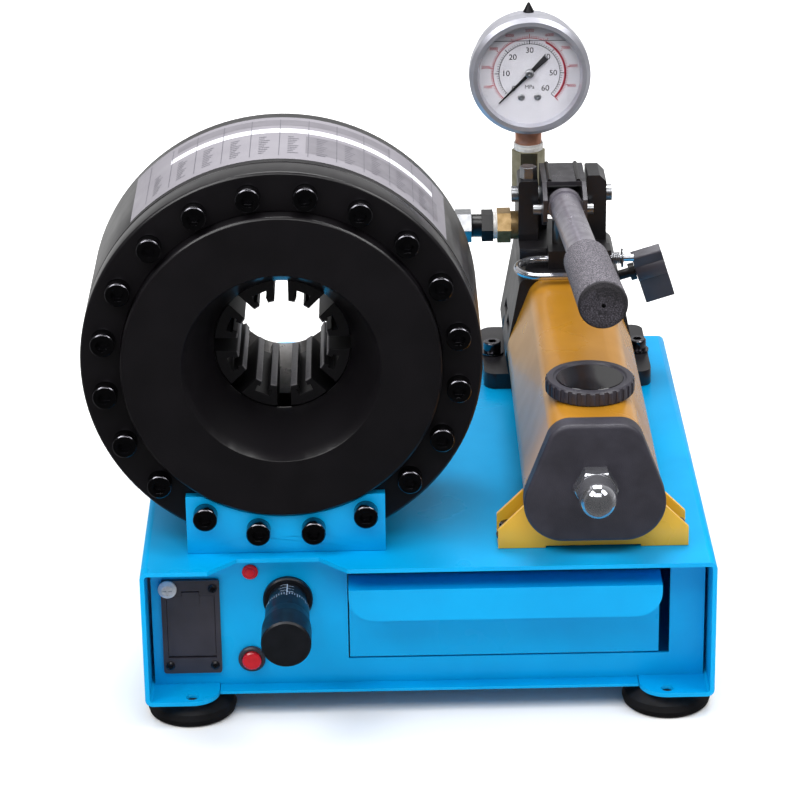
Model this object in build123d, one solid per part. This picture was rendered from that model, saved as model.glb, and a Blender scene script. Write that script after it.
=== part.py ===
from build123d import *
from math import atan2, cos, degrees, pi, radians, sin, sqrt, tan
import os

# Bench-top hose crimping machine, millimetres.
# Row frame: origin at the centre of the four bench holes, on the underside of the frame's
# lips.  +X to the operator's right, +Y towards the back, +Z up.

# ---------------------------------------------------------------- driving dimensions
# bench frame
FRAME_WIDTH = 380.0
FRAME_DEPTH = 404.0
FRAME_HEIGHT = 99.0
FRAME_SHEET = 3.0
FRAME_BEND = 5.0
LIP_WIDTH = 49.0
LIP_CORNER = 18.0
BENCH_HOLE_R = 4.25
BENCH_HOLE_IN_X = 31.0
BENCH_HOLE_IN_Y = 7.5
NOTCH_DEPTH = 19.0
NOTCH_FRONT = 92.0
NOTCH_BACK = 54.6
FOOT_R = 30.0
FOOT_HEIGHT = 17.8
FOOT_IN_X = 29.5
FOOT_IN_Y = 31.0
FOOT_PEG_R = 4.0

# panels
PANEL_SHEET = 2.0
PANEL_INSET = 27.0
PANEL_SIDE_GAP = 2.2
PANEL_FLANGE = 10.5
PANEL_TOP_FLANGE = 8.0

# crimping head, turned about an axis along Y
HEAD_X = -93.5
HEAD_CLEAR = 1.5
HEAD_R = 131.0
RING_FACE = 35.0
RING_THICK = 21.0
BODY_LENGTH = 104.0
REAR_WALL = 18.0
RIM_WIDTH = 26.5
BOSS_PROUD = 11.0
BARREL_WALL = 26.0
CONE_FLANGE_WIDTH = 4.5
CONE_FLANGE_THICK = 6.0
MOUTH_R = 65.0
JAW_FRONT = 70.0
JAW_LENGTH = 75.0
JAW_END_R = 45.0
JAW_BORE_R = 30.0
JAW_COUNT = 8
JAW_GAP = 9.0
JAW_LAND = 4.0
DIE_SLOT_NECK = 6.0
DIE_SLOT_HEAD = 10.0
DIE_SLOT_STEP = 4.0
CONE_ANGLE = 30.0
JAW_CLOSING = 9.0
THROAT_LAND = 2.0
ROD_R = 56.0
ROD_PROUD = 24.0
ROD_MOUTH_R = 49.5
PISTON_SEAL_WIDTH = 5.6
PISTON_SEAL_DEPTH = 7.0
GLAND_R = 67.5
GLAND_THICK = 12.0
GLAND_SPIGOT_R = 62.0
GLAND_SPIGOT = 7.0
HEAD_BOLT_IN = 14.4
HEAD_BOLT_COUNT = 20
SADDLE_THICK = 7.0
SADDLE_WIDTH = 131.5
SADDLE_UNDER_SCREW = 0.55

# fasteners
M10_R = 5.0
M10_HEAD_R = 8.0
M10_HEAD = 10.0
M10_SOCKET = 8.0
M8_R = 4.0
M8_HEAD_R = 6.5
M8_HEAD = 8.0
M8_SOCKET = 6.0
WASHER_R = 8.5
WASHER_THICK = 1.6
THREAD_DEPTH = 25.0

# clearances
SLIDE_GAP = 0.3
RUN_FIT = 0.05
BOLT_CLEARANCE = 0.5

# hand pump
PUMP_X = 110.0
TANK_TOP = 93.0
TANK_BOTTOM = 11.5
TANK_TOP_HALF = 26.5
TANK_BOTTOM_HALF = 57.5
TANK_TOP_FILLET = 15.0
TANK_BOTTOM_FILLET = 26.0
TANK_WALL = 3.5
TANK_FRONT = 27.0
TANK_REAR = 287.0
END_CAP_THICK = 14.0
END_CAP_MARGIN = 1.0
TIE_ROD_R = 7.0
TIE_ROD_HEIGHT = 52.0
DOME_NUT_FLATS = 25.4
DOME_NUT_HEX = 12.0
DOME_NUT_NECK = 12.0
DOME_R = 12.4
FILLER_FRONT = 74.8
FILLER_R = 29.7
FILLER_HEIGHT = 10.0
FILLER_NECK_R = 19.0
FILLER_SPIGOT = 12.0
FILLER_RIBS = 30
BRACKET_HALF = 63.2
BRACKET_SHOULDER = 13.7
BRACKET_WEB = 3.0
BRACKET_DEPTH = 28.0
BRACKET_BOLT_X = 55.5
PUMP_FOOT_HALF = 62.0
PUMP_FOOT_FRONT = 303.0
PUMP_FOOT_REAR = 398.0
PUMP_FOOT_THICK = 12.0
PUMP_BOLT_X = 54.5
PUMP_BOLT_Y = 345.0
PUMP_HULL_REAR = 385.0
FORK_X = 107.2
FORK_PLAY = 1.8
FORK_WALL = 14.5
FORK_FRONT = 337.0
FORK_REAR = 366.0
FORK_LEFT_TOP = 150.0
FORK_RIGHT_TOP = 154.0
PUMP_BLOCK_TOP = 104.0
PIVOT_Y = 350.0
PIVOT_Z = 136.3
PIVOT_R = 6.0
PIVOT_PROUD = 4.7
LINK_ARM = 22.5
LINK_DROP = 12.3
LINK_R = 4.0
LINK_PROUD = 6.0
PLUNGER_R = 8.0
PLUNGER_BOTTOM = 45.0
PLUNGER_BORE_BOTTOM = 40.0
LEVER_SWING = 50.0

# pump lever
LEVER_RISE = 5.0
LEVER_LEAN = 2.05
TUBE_R = 11.0
TUBE_WALL = 2.0
TUBE_REAR = 312.0
TUBE_COLLAR = 8.0
TUBE_LENGTH = 262.0
GRIP_LENGTH = 112.0
GRIP_R = 16.5
GRIP_REAR_R = 15.6
GRIP_END = 4.0
SOCKET_SLACK = 1.8
SOCKET_SHEET = 3.2
SOCKET_TOP = 155.5
SOCKET_REAR = 363.0
SOCKET_FRONT = 300.0
SOCKET_ROOF_FRONT = 320.0

# lever lock hook
HOOK_R = 2.7
HOOK_Y = 312.0
HOOK_Z = 98.5
HOOK_BEND = 18.0
HOOK_BEND_X = -20.0
HOOK_FRONT_END = 16.0
HOOK_RIGHT_END = 48.0
HOOK_SPRING_R = 4.3
HOOK_WASHER_R = 7.0
HOOK_LUG_LEFT = -14.7
HOOK_LUG_RIGHT = 31.0
HOOK_LUG_TOP = 107.0

# release valve
VALVE_TILT = 17.0
VALVE_Y = 330.0
VALVE_X = 38.0
VALVE_Z = 77.8
VALVE_STEM_R = 3.7
VALVE_COLLAR_R = 6.5
KNOB_START = 14.0
KNOB_WIDTH = 22.0
KNOB_UP = 16.5
KNOB_DOWN = 33.0
KNOB_THICK = 9.0
KNOB_TWIST = 25.0
KNOB_HUB_R = 8.5

# oil line from the pump to the head
LINE_HEIGHT = 112.0
LINE_PORT_CLEAR = 0.93
PIPE_R = 7.0
PIPE_BEND = 34.0
PIPE_NUT_FLATS = 22.0
PIPE_NUT_LENGTH = 12.0
NIPPLE_R = 8.5
NIPPLE_LENGTH = 7.5
NIPPLE_HEX = 8.5
NIPPLE_FLATS = 21.0
TAPED_THREAD = 3.0
ADAPTER_HEX = 10.0
ADAPTER_FLATS = 23.0
ADAPTER_BODY_R = 10.5

# pressure gauge
GAUGE_X = -25.6
GAUGE_STEM_Y = 383.0
GAUGE_BOSS_FRONT = 364.0
GAUGE_BOSS_REAR = 396.0
GAUGE_BOSS_TOP = 124.0
GAUGE_CENTRE = 223.2
GAUGE_CASE_R = 41.5
GAUGE_CASE_DEPTH = 28.0
GAUGE_CASE_WALL = 1.5
GAUGE_FRONT = 358.0
GAUGE_BEZEL_WALL = 3.0
GAUGE_BEZEL_LIP = 4.5
GAUGE_BEZEL_DEPTH = 14.0
GAUGE_STEM_R = 9.5
GAUGE_ADAPTER_TOP = 160.2
GAUGE_ADAPTER_FLATS = 21.5
NEEDLE_REACH = 32.0
NEEDLE_TAIL = 17.0
NEEDLE_HUB_R = 3.2

# drawer
DRAWER_LEFT = -53.0
DRAWER_WIDTH = 207.5
DRAWER_TOP = 81.5
DRAWER_BOTTOM = 21.0
DRAWER_SHEET = 2.0
DRAWER_DEPTH = 230.0
DRAWER_WALL_HEIGHT = 46.0
DRAWER_GAP_LEFT = 1.0
DRAWER_GAP_RIGHT = 7.1
DRAWER_GAP_TOP = 2.0
DRAWER_GAP_BOTTOM = 1.2
PULL_REACH = 23.0
PULL_DROP = 22.8
PULL_CORNER = 17.0
RUNNER_WIDTH = 12.0
RUNNER_SHEET = 2.0

# battery box, lamp, button
BATTERY_X = -158.7
BATTERY_Z = 46.8
BATTERY_WIDTH = 39.0
BATTERY_HEIGHT = 69.0
BATTERY_BEZEL = 3.0
BATTERY_DEPTH = 24.0
DOOR_WIDTH = 31.7
DOOR_HEIGHT = 45.7
DOOR_Z = 46.9
DOOR_THICK = 2.0
DOOR_PIN_R = 1.2
LATCH_WIDTH = 11.5
BOX_SCREW_X = 15.0
BOX_SCREW_Z = 28.5
BOX_SCREW_R = 3.0
ZINC_SCREW_R = 6.2
LAMP_X = -118.4
LAMP_Z = 85.8
LAMP_R = 5.3
LAMP_LENS_R = 3.6
BUTTON_X = -119.0
BUTTON_Z = 21.3
BUTTON_RING_R = 9.1
BUTTON_CAP_R = 6.4
BUTTON_TRAVEL = 2.5

# crimp-size micrometer
DIAL_X = -93.7
DIAL_Z = 65.4
DIAL_COLLAR_R = 16.6
DIAL_COLLAR = 4.0
SLEEVE_R = 13.0
THIMBLE_START = 8.0
THIMBLE_END = -41.0
THIMBLE_R = 16.4
THIMBLE_NECK_R = 14.6
THIMBLE_WALL = 4.0
SPINDLE_R = 4.0
SPINDLE_REAR = 70.0
SPINDLE_TRAVEL = 2.0

# ---------------------------------------------------------------- derived places
FRONT = -FRAME_DEPTH / 2
PLATE = FRAME_HEIGHT
PANEL_Y = FRONT + PANEL_INSET
HEAD_Z = PLATE + HEAD_R + HEAD_CLEAR
HEAD_BOLT_CIRCLE_R = HEAD_R - HEAD_BOLT_IN
BOSS_R = HEAD_R - RIM_WIDTH
CYLINDER_BORE_R = HEAD_R - BARREL_WALL
CONE_FLANGE_R = BOSS_R + CONE_FLANGE_WIDTH
PORT_REACH = GLAND_R + PIPE_NUT_FLATS / sqrt(3) + LINE_PORT_CLEAR
LINE_PORT_X = HEAD_X + sqrt(PORT_REACH ** 2 - (HEAD_R + HEAD_CLEAR - LINE_HEIGHT) ** 2)
BOLT_STEP = 360 / HEAD_BOLT_COUNT
SADDLE_HEIGHT = (HEAD_R + HEAD_CLEAR - HEAD_BOLT_CIRCLE_R * cos(radians(2.5 * BOLT_STEP))
                 - M10_HEAD_R - SADDLE_UNDER_SCREW)
RING_BACK = RING_FACE + RING_THICK
BODY_REAR = RING_BACK + BODY_LENGTH
CHAMBER_WALL = BODY_REAR - REAR_WALL
JAW_REAR = JAW_FRONT + JAW_LENGTH
CONE_SLOPE = tan(radians(CONE_ANGLE))
JAW_TRAVEL = JAW_CLOSING / CONE_SLOPE
PISTON_STROKE = 2 * JAW_TRAVEL
CONE_OFFSET = SLIDE_GAP / cos(radians(CONE_ANGLE))
LINK_Y = PIVOT_Y - LINK_ARM * cos(radians(LINK_DROP))
LINK_Z = PIVOT_Z - LINK_ARM * sin(radians(LINK_DROP))
SOCKET_ROOM = TUBE_R + SOCKET_SLACK
SOCKET_HALF = SOCKET_ROOM + SOCKET_SHEET
LINK_HALF = SOCKET_HALF + LINK_PROUD
FORK_GAP_HALF = SOCKET_HALF + FORK_PLAY
FORK_OUTER_HALF = FORK_GAP_HALF + FORK_WALL
PIVOT_HALF = FORK_OUTER_HALF + PIVOT_PROUD
GAUGE_BEZEL_R = GAUGE_CASE_R + GAUGE_BEZEL_WALL
GAUGE_WINDOW_R = GAUGE_CASE_R - GAUGE_BEZEL_LIP


# ---------------------------------------------------------------- helpers
def at(x, y, z):
    """A point given from the frame's front edge (y) and the top plate (z)."""
    return (x, FRONT + y, PLATE + z)


def block(low, high):
    """A box between two corners."""
    size = [b - a for a, b in zip(low, high)]
    middle = [(a + b) / 2 for a, b in zip(low, high)]
    return Pos(*middle) * Box(*size)


def bar(section, start, end):
    """A section carried along the straight line from start to end."""
    run = Vector(*end) - Vector(*start)
    side = Vector(1, 0, 0) if abs(run.normalized().X) < 0.9 else Vector(0, 1, 0)
    return extrude(Plane(origin=start, x_dir=side, z_dir=run) * section, run.length)


def rod(radius, start, end):
    return bar(Circle(radius), start, end)


def hexagon(flats, start, end):
    return bar(RegularPolygon(flats / sqrt(3), 6), start, end)


def turned(profile, origin, direction):
    """A profile of (distance along the axis, radius) points turned about the axis."""
    along = Vector(*direction).normalized()
    side = Vector(0, 0, 1) if abs(along.Z) < 0.9 else Vector(1, 0, 0)
    plane = Plane(origin=origin, x_dir=along, z_dir=side.cross(along))
    return revolve(plane * Polygon(*profile, align=None), Axis(origin, along))


def head_turned(profile):
    """A head piece: distances are measured back from the frame's front edge."""
    return turned(profile, (HEAD_X, FRONT, HEAD_Z), (0, 1, 0))


def head_point(radius, angle, y):
    """A point on the head at an angle clockwise from the top, seen from the front."""
    return (HEAD_X + radius * sin(radians(angle)), FRONT + y, HEAD_Z + radius * cos(radians(angle)))


def cap_screw(head_r, head_height, socket, shank_r, length, seat, direction):
    """A socket cap screw: seat is the centre of the face under its head."""
    along = Vector(*direction).normalized()
    seat = Vector(*seat)
    top = seat - along * head_height
    head = turned(
        [(0, 0), (0, head_r - 0.7), (0.7, head_r), (head_height, head_r), (head_height, 0)],
        tuple(top), tuple(along))
    recess = hexagon(socket, tuple(top), tuple(top + along * head_height * 0.55))
    return head - recess + rod(shank_r, tuple(seat), tuple(seat + along * length))


def save(node, *solids):
    """Write one node: a single solid, or a group of separate ones."""
    shape = solids[0] if len(solids) == 1 else Compound(children=list(solids))
    export_step(shape, f"parts/{node}.step")


# ---------------------------------------------------------------- bench frame
def lip_positions(in_x, in_y):
    """The four mirrored places at a distance in from the frame's sides and ends."""
    return [(sx * (FRAME_WIDTH / 2 - in_x), sy * (FRAME_DEPTH / 2 - in_y))
            for sx in (-1, 1) for sy in (-1, 1)]


def through_plate_holes():
    """Where the pump's screws pass the top plate."""
    bracket_y = TANK_FRONT + BRACKET_DEPTH / 2
    return [at(PUMP_X + side * x, y, 0)
            for side in (-1, 1)
            for x, y in ((BRACKET_BOLT_X, bracket_y), (PUMP_BOLT_X, PUMP_BOLT_Y))]


def base_frame():
    middle = Plane.XZ.offset(0)
    outer = RectangleRounded(FRAME_WIDTH, FRAME_HEIGHT, FRAME_BEND)
    inner = RectangleRounded(FRAME_WIDTH - 2 * FRAME_SHEET, FRAME_HEIGHT - 2 * FRAME_SHEET,
                             FRAME_BEND - FRAME_SHEET)
    mouth = Pos(0, -FRAME_HEIGHT / 2) * Rectangle(FRAME_WIDTH - 2 * LIP_WIDTH, 4 * FRAME_SHEET)
    section = Pos(0, FRAME_HEIGHT / 2) * (outer - inner - mouth)
    frame = extrude(middle * section, FRAME_DEPTH / 2, both=True)
    lip_x = FRAME_WIDTH / 2 - LIP_WIDTH
    corners = [edge for edge in frame.edges().filter_by(Axis.Z)
               if abs(abs(edge.center().X) - lip_x) < 0.1 and edge.length < 1.5 * FRAME_SHEET]
    frame = fillet(corners, LIP_CORNER)
    notch = Polygon((-NOTCH_FRONT / 2, -1), (NOTCH_FRONT / 2, -1), (NOTCH_FRONT / 2, 0),
                    (NOTCH_BACK / 2, NOTCH_DEPTH), (-NOTCH_BACK / 2, NOTCH_DEPTH),
                    (-NOTCH_FRONT / 2, 0), align=None)
    notch_x = HEAD_X - 6
    frame -= extrude(Pos(notch_x, FRONT, PLATE - 2 * FRAME_SHEET) * notch, 3 * FRAME_SHEET)
    rear_panel_y = -FRONT - PANEL_INSET
    side = FRAME_WIDTH / 2 - FRAME_SHEET
    frame += block((-side, rear_panel_y - PANEL_SHEET, FRAME_SHEET),
                   (side, rear_panel_y, PLATE - FRAME_SHEET))
    for x, y in lip_positions(BENCH_HOLE_IN_X, BENCH_HOLE_IN_Y):
        frame -= rod(BENCH_HOLE_R, (x, y, -1), (x, y, 2 * FRAME_SHEET))
    for x, y in lip_positions(FOOT_IN_X, FOOT_IN_Y):
        frame -= rod(FOOT_PEG_R + RUN_FIT, (x, y, -1), (x, y, 2 * FRAME_SHEET))
    for x, y, z in through_plate_holes():
        frame -= rod(M8_R + BOLT_CLEARANCE, (x, y, z - 2 * FRAME_SHEET), (x, y, z + 1))
    return frame


def rubber_foot(x, y):
    """A dished rubber foot with the moulded peg that holds it in the lip."""
    peg_top = FOOT_HEIGHT + FRAME_SHEET - SLIDE_GAP
    profile = [(0, 0), (0, FOOT_R - 3), (1.5, FOOT_R - 1), (5, FOOT_R), (9, FOOT_R - 1.5),
               (FOOT_HEIGHT, FOOT_R - 9), (FOOT_HEIGHT, FOOT_PEG_R), (peg_top, FOOT_PEG_R), (peg_top, 0)]
    return turned(profile, (x, y, -FOOT_HEIGHT), (0, 0, 1))


def front_panel():
    side = FRAME_WIDTH / 2 - FRAME_SHEET - PANEL_SIDE_GAP
    lip_x = FRAME_WIDTH / 2 - LIP_WIDTH - SLIDE_GAP
    top = PLATE - FRAME_SHEET
    back = PANEL_Y + PANEL_SHEET
    panel = block((-side, PANEL_Y, FRAME_SHEET), (side, back, top))
    panel += block((-lip_x, PANEL_Y - PANEL_FLANGE, 0), (lip_x, back, PANEL_SHEET))
    panel += block((-lip_x, PANEL_Y, 0), (lip_x, back, FRAME_SHEET + 1))
    panel += block((-side, PANEL_Y, top - PANEL_SHEET), (side, PANEL_Y + PANEL_TOP_FLANGE, top))
    far = back + 1
    near = PANEL_Y - 1
    drawer_right = DRAWER_LEFT + DRAWER_WIDTH
    panel -= block((DRAWER_LEFT - DRAWER_GAP_LEFT, near, DRAWER_BOTTOM - DRAWER_GAP_BOTTOM),
                   (drawer_right + DRAWER_GAP_RIGHT, far, DRAWER_TOP + DRAWER_GAP_TOP))
    half_x = DOOR_WIDTH / 2 + 1.5 + SLIDE_GAP
    half_z = DOOR_HEIGHT / 2 + 1.5 + SLIDE_GAP
    panel -= block((BATTERY_X - half_x, near, DOOR_Z - half_z), (BATTERY_X + half_x, far, DOOR_Z + half_z))
    for x, z, radius in ((LAMP_X, LAMP_Z, LAMP_LENS_R + 0.6), (BUTTON_X, BUTTON_Z, BUTTON_CAP_R + 1.2),
                         (DIAL_X, DIAL_Z, SLEEVE_R - 3)):
        panel -= rod(radius + SLIDE_GAP, (x, near, z), (x, far, z))
    for x, z in battery_screw_places():
        panel -= rod(1.7, (x, near, z), (x, far, z))
    return panel


# ---------------------------------------------------------------- crimping head
def head_bolt_angles():
    return [BOLT_STEP / 2 + BOLT_STEP * k for k in range(HEAD_BOLT_COUNT)]


def saddle_bolt_angles():
    """The four lowest places of the bolt circle, which also hold the saddle."""
    return sorted(head_bolt_angles(), key=lambda angle: abs(angle - 180))[:4]


def ring_bolt_angles():
    return [angle for angle in head_bolt_angles() if angle not in saddle_bolt_angles()]


def cylinder_body():
    profile = [(RING_BACK, CONE_FLANGE_R + SLIDE_GAP), (RING_BACK, HEAD_R - 1.2),
               (RING_BACK + 1.2, HEAD_R), (BODY_REAR - 3, HEAD_R), (BODY_REAR, HEAD_R - 3),
               (BODY_REAR, GLAND_SPIGOT_R + SLIDE_GAP),
               (BODY_REAR - GLAND_SPIGOT, GLAND_SPIGOT_R + SLIDE_GAP),
               (BODY_REAR - GLAND_SPIGOT, ROD_R + RUN_FIT), (CHAMBER_WALL, ROD_R + RUN_FIT),
               (CHAMBER_WALL, CYLINDER_BORE_R),
               (RING_BACK + CONE_FLANGE_THICK + SLIDE_GAP, CYLINDER_BORE_R),
               (RING_BACK + CONE_FLANGE_THICK + SLIDE_GAP, CONE_FLANGE_R + SLIDE_GAP)]
    body = head_turned(profile)
    for angle in head_bolt_angles():
        body -= rod(M10_R + RUN_FIT, head_point(HEAD_BOLT_CIRCLE_R, angle, RING_BACK - 1),
                    head_point(HEAD_BOLT_CIRCLE_R, angle, RING_BACK + THREAD_DEPTH + 1))
    for angle in saddle_bolt_angles():
        body -= rod(M10_R + RUN_FIT, head_point(HEAD_BOLT_CIRCLE_R, angle, BODY_REAR - REAR_WALL + 2),
                    head_point(HEAD_BOLT_CIRCLE_R, angle, BODY_REAR + 1))
    body -= rod(PIPE_R - 2, at(LINE_PORT_X, CHAMBER_WALL - 1, LINE_HEIGHT),
                at(LINE_PORT_X, BODY_REAR + 1, LINE_HEIGHT))
    return body


def front_ring():
    profile = [(RING_FACE, BOSS_R + SLIDE_GAP), (RING_FACE, HEAD_R - 1.5), (RING_FACE + 1.5, HEAD_R),
               (RING_BACK - 1.2, HEAD_R), (RING_BACK, HEAD_R - 1.2), (RING_BACK, BOSS_R + SLIDE_GAP)]
    ring = head_turned(profile)
    for angle in head_bolt_angles():
        ring -= rod(M10_R + BOLT_CLEARANCE, head_point(HEAD_BOLT_CIRCLE_R, angle, RING_FACE - 1),
                    head_point(HEAD_BOLT_CIRCLE_R, angle, RING_BACK + 1))
    return ring


def cone_radius(distance):
    """Radius of the jaws' end cone, a distance in from the jaw's end face."""
    return JAW_END_R + CONE_OFFSET + distance * CONE_SLOPE


def front_cone():
    """The front die ring: funnel mouth outside, the jaws' sliding cone inside."""
    boss_face = RING_FACE - BOSS_PROUD
    rear = RING_BACK + (JAW_LENGTH - PISTON_STROKE) / 2 - (RING_BACK - JAW_FRONT)
    throat = JAW_FRONT - THROAT_LAND
    profile = [(boss_face, MOUTH_R), (boss_face, BOSS_R - 1.5), (boss_face + 1.5, BOSS_R),
               (RING_BACK + SLIDE_GAP, BOSS_R), (RING_BACK + SLIDE_GAP, CONE_FLANGE_R),
               (RING_BACK + CONE_FLANGE_THICK, CONE_FLANGE_R), (RING_BACK + CONE_FLANGE_THICK, BOSS_R),
               (rear - SLIDE_GAP, BOSS_R), (rear - SLIDE_GAP, cone_radius(rear - SLIDE_GAP - JAW_FRONT)),
               (JAW_FRONT, cone_radius(0)), (throat, cone_radius(0))]
    return head_turned(profile)


def jaw(index):
    """One jaw: double cone outside, cut to its sector, with a die slot along its bore face."""
    half = JAW_LENGTH / 2
    closed_end = JAW_END_R - JAW_CLOSING
    closed_middle = closed_end + (half - JAW_LAND / 2) * CONE_SLOPE
    ring = turned([(-half, 8), (-half, closed_end), (-JAW_LAND / 2, closed_middle),
                   (JAW_LAND / 2, closed_middle), (half, closed_end), (half, 8)], (0, 0, 0), (0, 1, 0))
    step = 360 / JAW_COUNT
    apex = JAW_GAP / 2 / sin(radians(step / 2)) - JAW_CLOSING
    reach = 2 * HEAD_R
    spread = reach * tan(radians(step / 2))
    wedge = Polygon((0, apex), (spread, apex + reach), (-spread, apex + reach), align=None)
    sector = extrude(Plane.XZ * wedge, half + 1, both=True)
    neck = block((-DIE_SLOT_NECK / 2, -half - 1, 0), (DIE_SLOT_NECK / 2, half + 1, JAW_BORE_R + DIE_SLOT_STEP))
    head = block((-DIE_SLOT_HEAD / 2, -half - 1, JAW_BORE_R + DIE_SLOT_STEP),
                 (DIE_SLOT_HEAD / 2, half + 1, JAW_BORE_R + 2 * DIE_SLOT_STEP))
    bore = rod(JAW_BORE_R, (0, -half - 1, 0), (0, half + 1, 0))
    opened = Pos(0, 0, JAW_CLOSING) * (ring & sector) - bore - neck - head
    place = Pos(HEAD_X, FRONT + JAW_FRONT + half, HEAD_Z)
    return place * Rot(0, step * (index - 0.5), 0) * opened


def piston():
    """Ring piston whose front cone drives the jaws and whose hollow rod passes the rear wall."""
    cover = (JAW_LENGTH - PISTON_STROKE) / 2
    front = JAW_REAR - cover + SLIDE_GAP
    land_rear = CHAMBER_WALL - SLIDE_GAP
    groove = land_rear - (land_rear - front + PISTON_SEAL_WIDTH) / 2 - SLIDE_GAP
    groove_end = groove + PISTON_SEAL_WIDTH + 2 * SLIDE_GAP
    outer = CYLINDER_BORE_R - RUN_FIT
    floor = outer - PISTON_SEAL_DEPTH
    throat = JAW_REAR + JAW_TRAVEL + SLIDE_GAP
    profile = [(front, cone_radius(JAW_REAR - front)), (front, outer), (groove, outer), (groove, floor),
               (groove_end, floor), (groove_end, outer), (land_rear, outer), (land_rear, ROD_R),
               (BODY_REAR + ROD_PROUD, ROD_R), (BODY_REAR + ROD_PROUD, ROD_MOUTH_R),
               (throat, cone_radius(JAW_REAR - throat))]
    seal = [(groove + SLIDE_GAP, floor + SLIDE_GAP), (groove + SLIDE_GAP, outer),
            (groove_end - SLIDE_GAP, outer), (groove_end - SLIDE_GAP, floor + SLIDE_GAP)]
    return head_turned(profile), head_turned(seal)


def rear_gland():
    profile = [(BODY_REAR - GLAND_SPIGOT, ROD_R + RUN_FIT), (BODY_REAR - GLAND_SPIGOT, GLAND_SPIGOT_R),
               (BODY_REAR, GLAND_SPIGOT_R), (BODY_REAR, GLAND_R), (BODY_REAR + GLAND_THICK - 1.5, GLAND_R),
               (BODY_REAR + GLAND_THICK, GLAND_R - 1.5), (BODY_REAR + GLAND_THICK, ROD_R + RUN_FIT)]
    gland = head_turned(profile)
    for angle in (0, 90, 180, 270):
        gland -= rod(4, head_point((GLAND_R + ROD_R) / 2, angle, BODY_REAR + GLAND_THICK - 6),
                     head_point((GLAND_R + ROD_R) / 2, angle, BODY_REAR + GLAND_THICK + 1))
    return gland


def saddle(face, cut_radius):
    """A blue plate standing on the frame that carries the head on four of its screws."""
    half = SADDLE_WIDTH / 2
    plate = block(at(HEAD_X - half, face, 0), at(HEAD_X + half, face + SADDLE_THICK, SADDLE_HEIGHT))
    plate -= rod(cut_radius, (HEAD_X, FRONT + face - 1, HEAD_Z), (HEAD_X, FRONT + face + SADDLE_THICK + 1, HEAD_Z))
    for angle in saddle_bolt_angles():
        plate -= rod(M10_R + BOLT_CLEARANCE, head_point(HEAD_BOLT_CIRCLE_R, angle, face - 1),
                     head_point(HEAD_BOLT_CIRCLE_R, angle, face + SADDLE_THICK + 1))
    return plate


def m10(angle, seat, length, direction):
    return cap_screw(M10_HEAD_R, M10_HEAD, M10_SOCKET, M10_R, length,
                     head_point(HEAD_BOLT_CIRCLE_R, angle, seat), direction)


# ---------------------------------------------------------------- hand pump
def tank_outline(margin):
    """The tank's rounded trapezoid section, grown by a margin, in the XZ plane."""
    points = [(-TANK_BOTTOM_HALF, TANK_BOTTOM), (TANK_BOTTOM_HALF, TANK_BOTTOM),
              (TANK_TOP_HALF, TANK_TOP), (-TANK_TOP_HALF, TANK_TOP)]
    outline = Polygon(*points, align=None)
    middle = (TANK_TOP + TANK_BOTTOM) / 2
    outline = fillet([v for v in outline.vertices() if v.Y < middle], TANK_BOTTOM_FILLET)
    outline = fillet([v for v in outline.vertices() if v.Y > TANK_TOP - 0.1], TANK_TOP_FILLET)
    return offset(outline, margin) if margin else outline


def along_pump(sketch, start, end):
    """Carry an XZ sketch, drawn about the pump's centre, from start back to end."""
    plane = Plane(origin=at(PUMP_X, end, 0), x_dir=(1, 0, 0), z_dir=(0, -1, 0))
    return extrude(plane * sketch, end - start, dir=(0, -1, 0))


def oil_tank():
    tank = along_pump(tank_outline(0) - tank_outline(-TANK_WALL), TANK_FRONT, TANK_REAR)
    hole = FILLER_NECK_R + SLIDE_GAP
    return tank - rod(hole, at(PUMP_X, FILLER_FRONT, TANK_TOP - 10), at(PUMP_X, FILLER_FRONT, TANK_TOP + 10))


def tank_end_cap():
    cap = along_pump(tank_outline(END_CAP_MARGIN), TANK_FRONT - END_CAP_THICK, TANK_FRONT)
    front = cap.faces().sort_by(Axis.Y)[0]
    cap = fillet(front.edges(), 3)
    return cap - rod(TIE_ROD_R + SLIDE_GAP, at(PUMP_X, 0, TIE_ROD_HEIGHT), at(PUMP_X, 60, TIE_ROD_HEIGHT))


def tie_rod_and_nut():
    seat = TANK_FRONT - END_CAP_THICK
    centre = seat - DOME_NUT_HEX - DOME_NUT_NECK
    tie = rod(TIE_ROD_R, at(PUMP_X, seat - DOME_NUT_HEX, TIE_ROD_HEIGHT), at(PUMP_X, TANK_REAR + 10, TIE_ROD_HEIGHT))
    nut = hexagon(DOME_NUT_FLATS, at(PUMP_X, seat, TIE_ROD_HEIGHT), at(PUMP_X, seat - DOME_NUT_HEX, TIE_ROD_HEIGHT))
    nut &= turned([(0, 0), (0, DOME_NUT_FLATS), (DOME_NUT_HEX - 1.6, DOME_NUT_FLATS / sqrt(3)),
                   (DOME_NUT_HEX, DOME_NUT_FLATS / 2), (DOME_NUT_HEX, 0)],
                  at(PUMP_X, seat, TIE_ROD_HEIGHT), (0, -1, 0))
    nut += rod(DOME_R, at(PUMP_X, seat - DOME_NUT_HEX, TIE_ROD_HEIGHT), at(PUMP_X, centre, TIE_ROD_HEIGHT))
    nut += Pos(*at(PUMP_X, centre, TIE_ROD_HEIGHT)) * Sphere(DOME_R)
    nut -= rod(TIE_ROD_R + RUN_FIT, at(PUMP_X, seat + 1, TIE_ROD_HEIGHT),
               at(PUMP_X, seat - DOME_NUT_HEX - RUN_FIT, TIE_ROD_HEIGHT))
    return tie, nut


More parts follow.
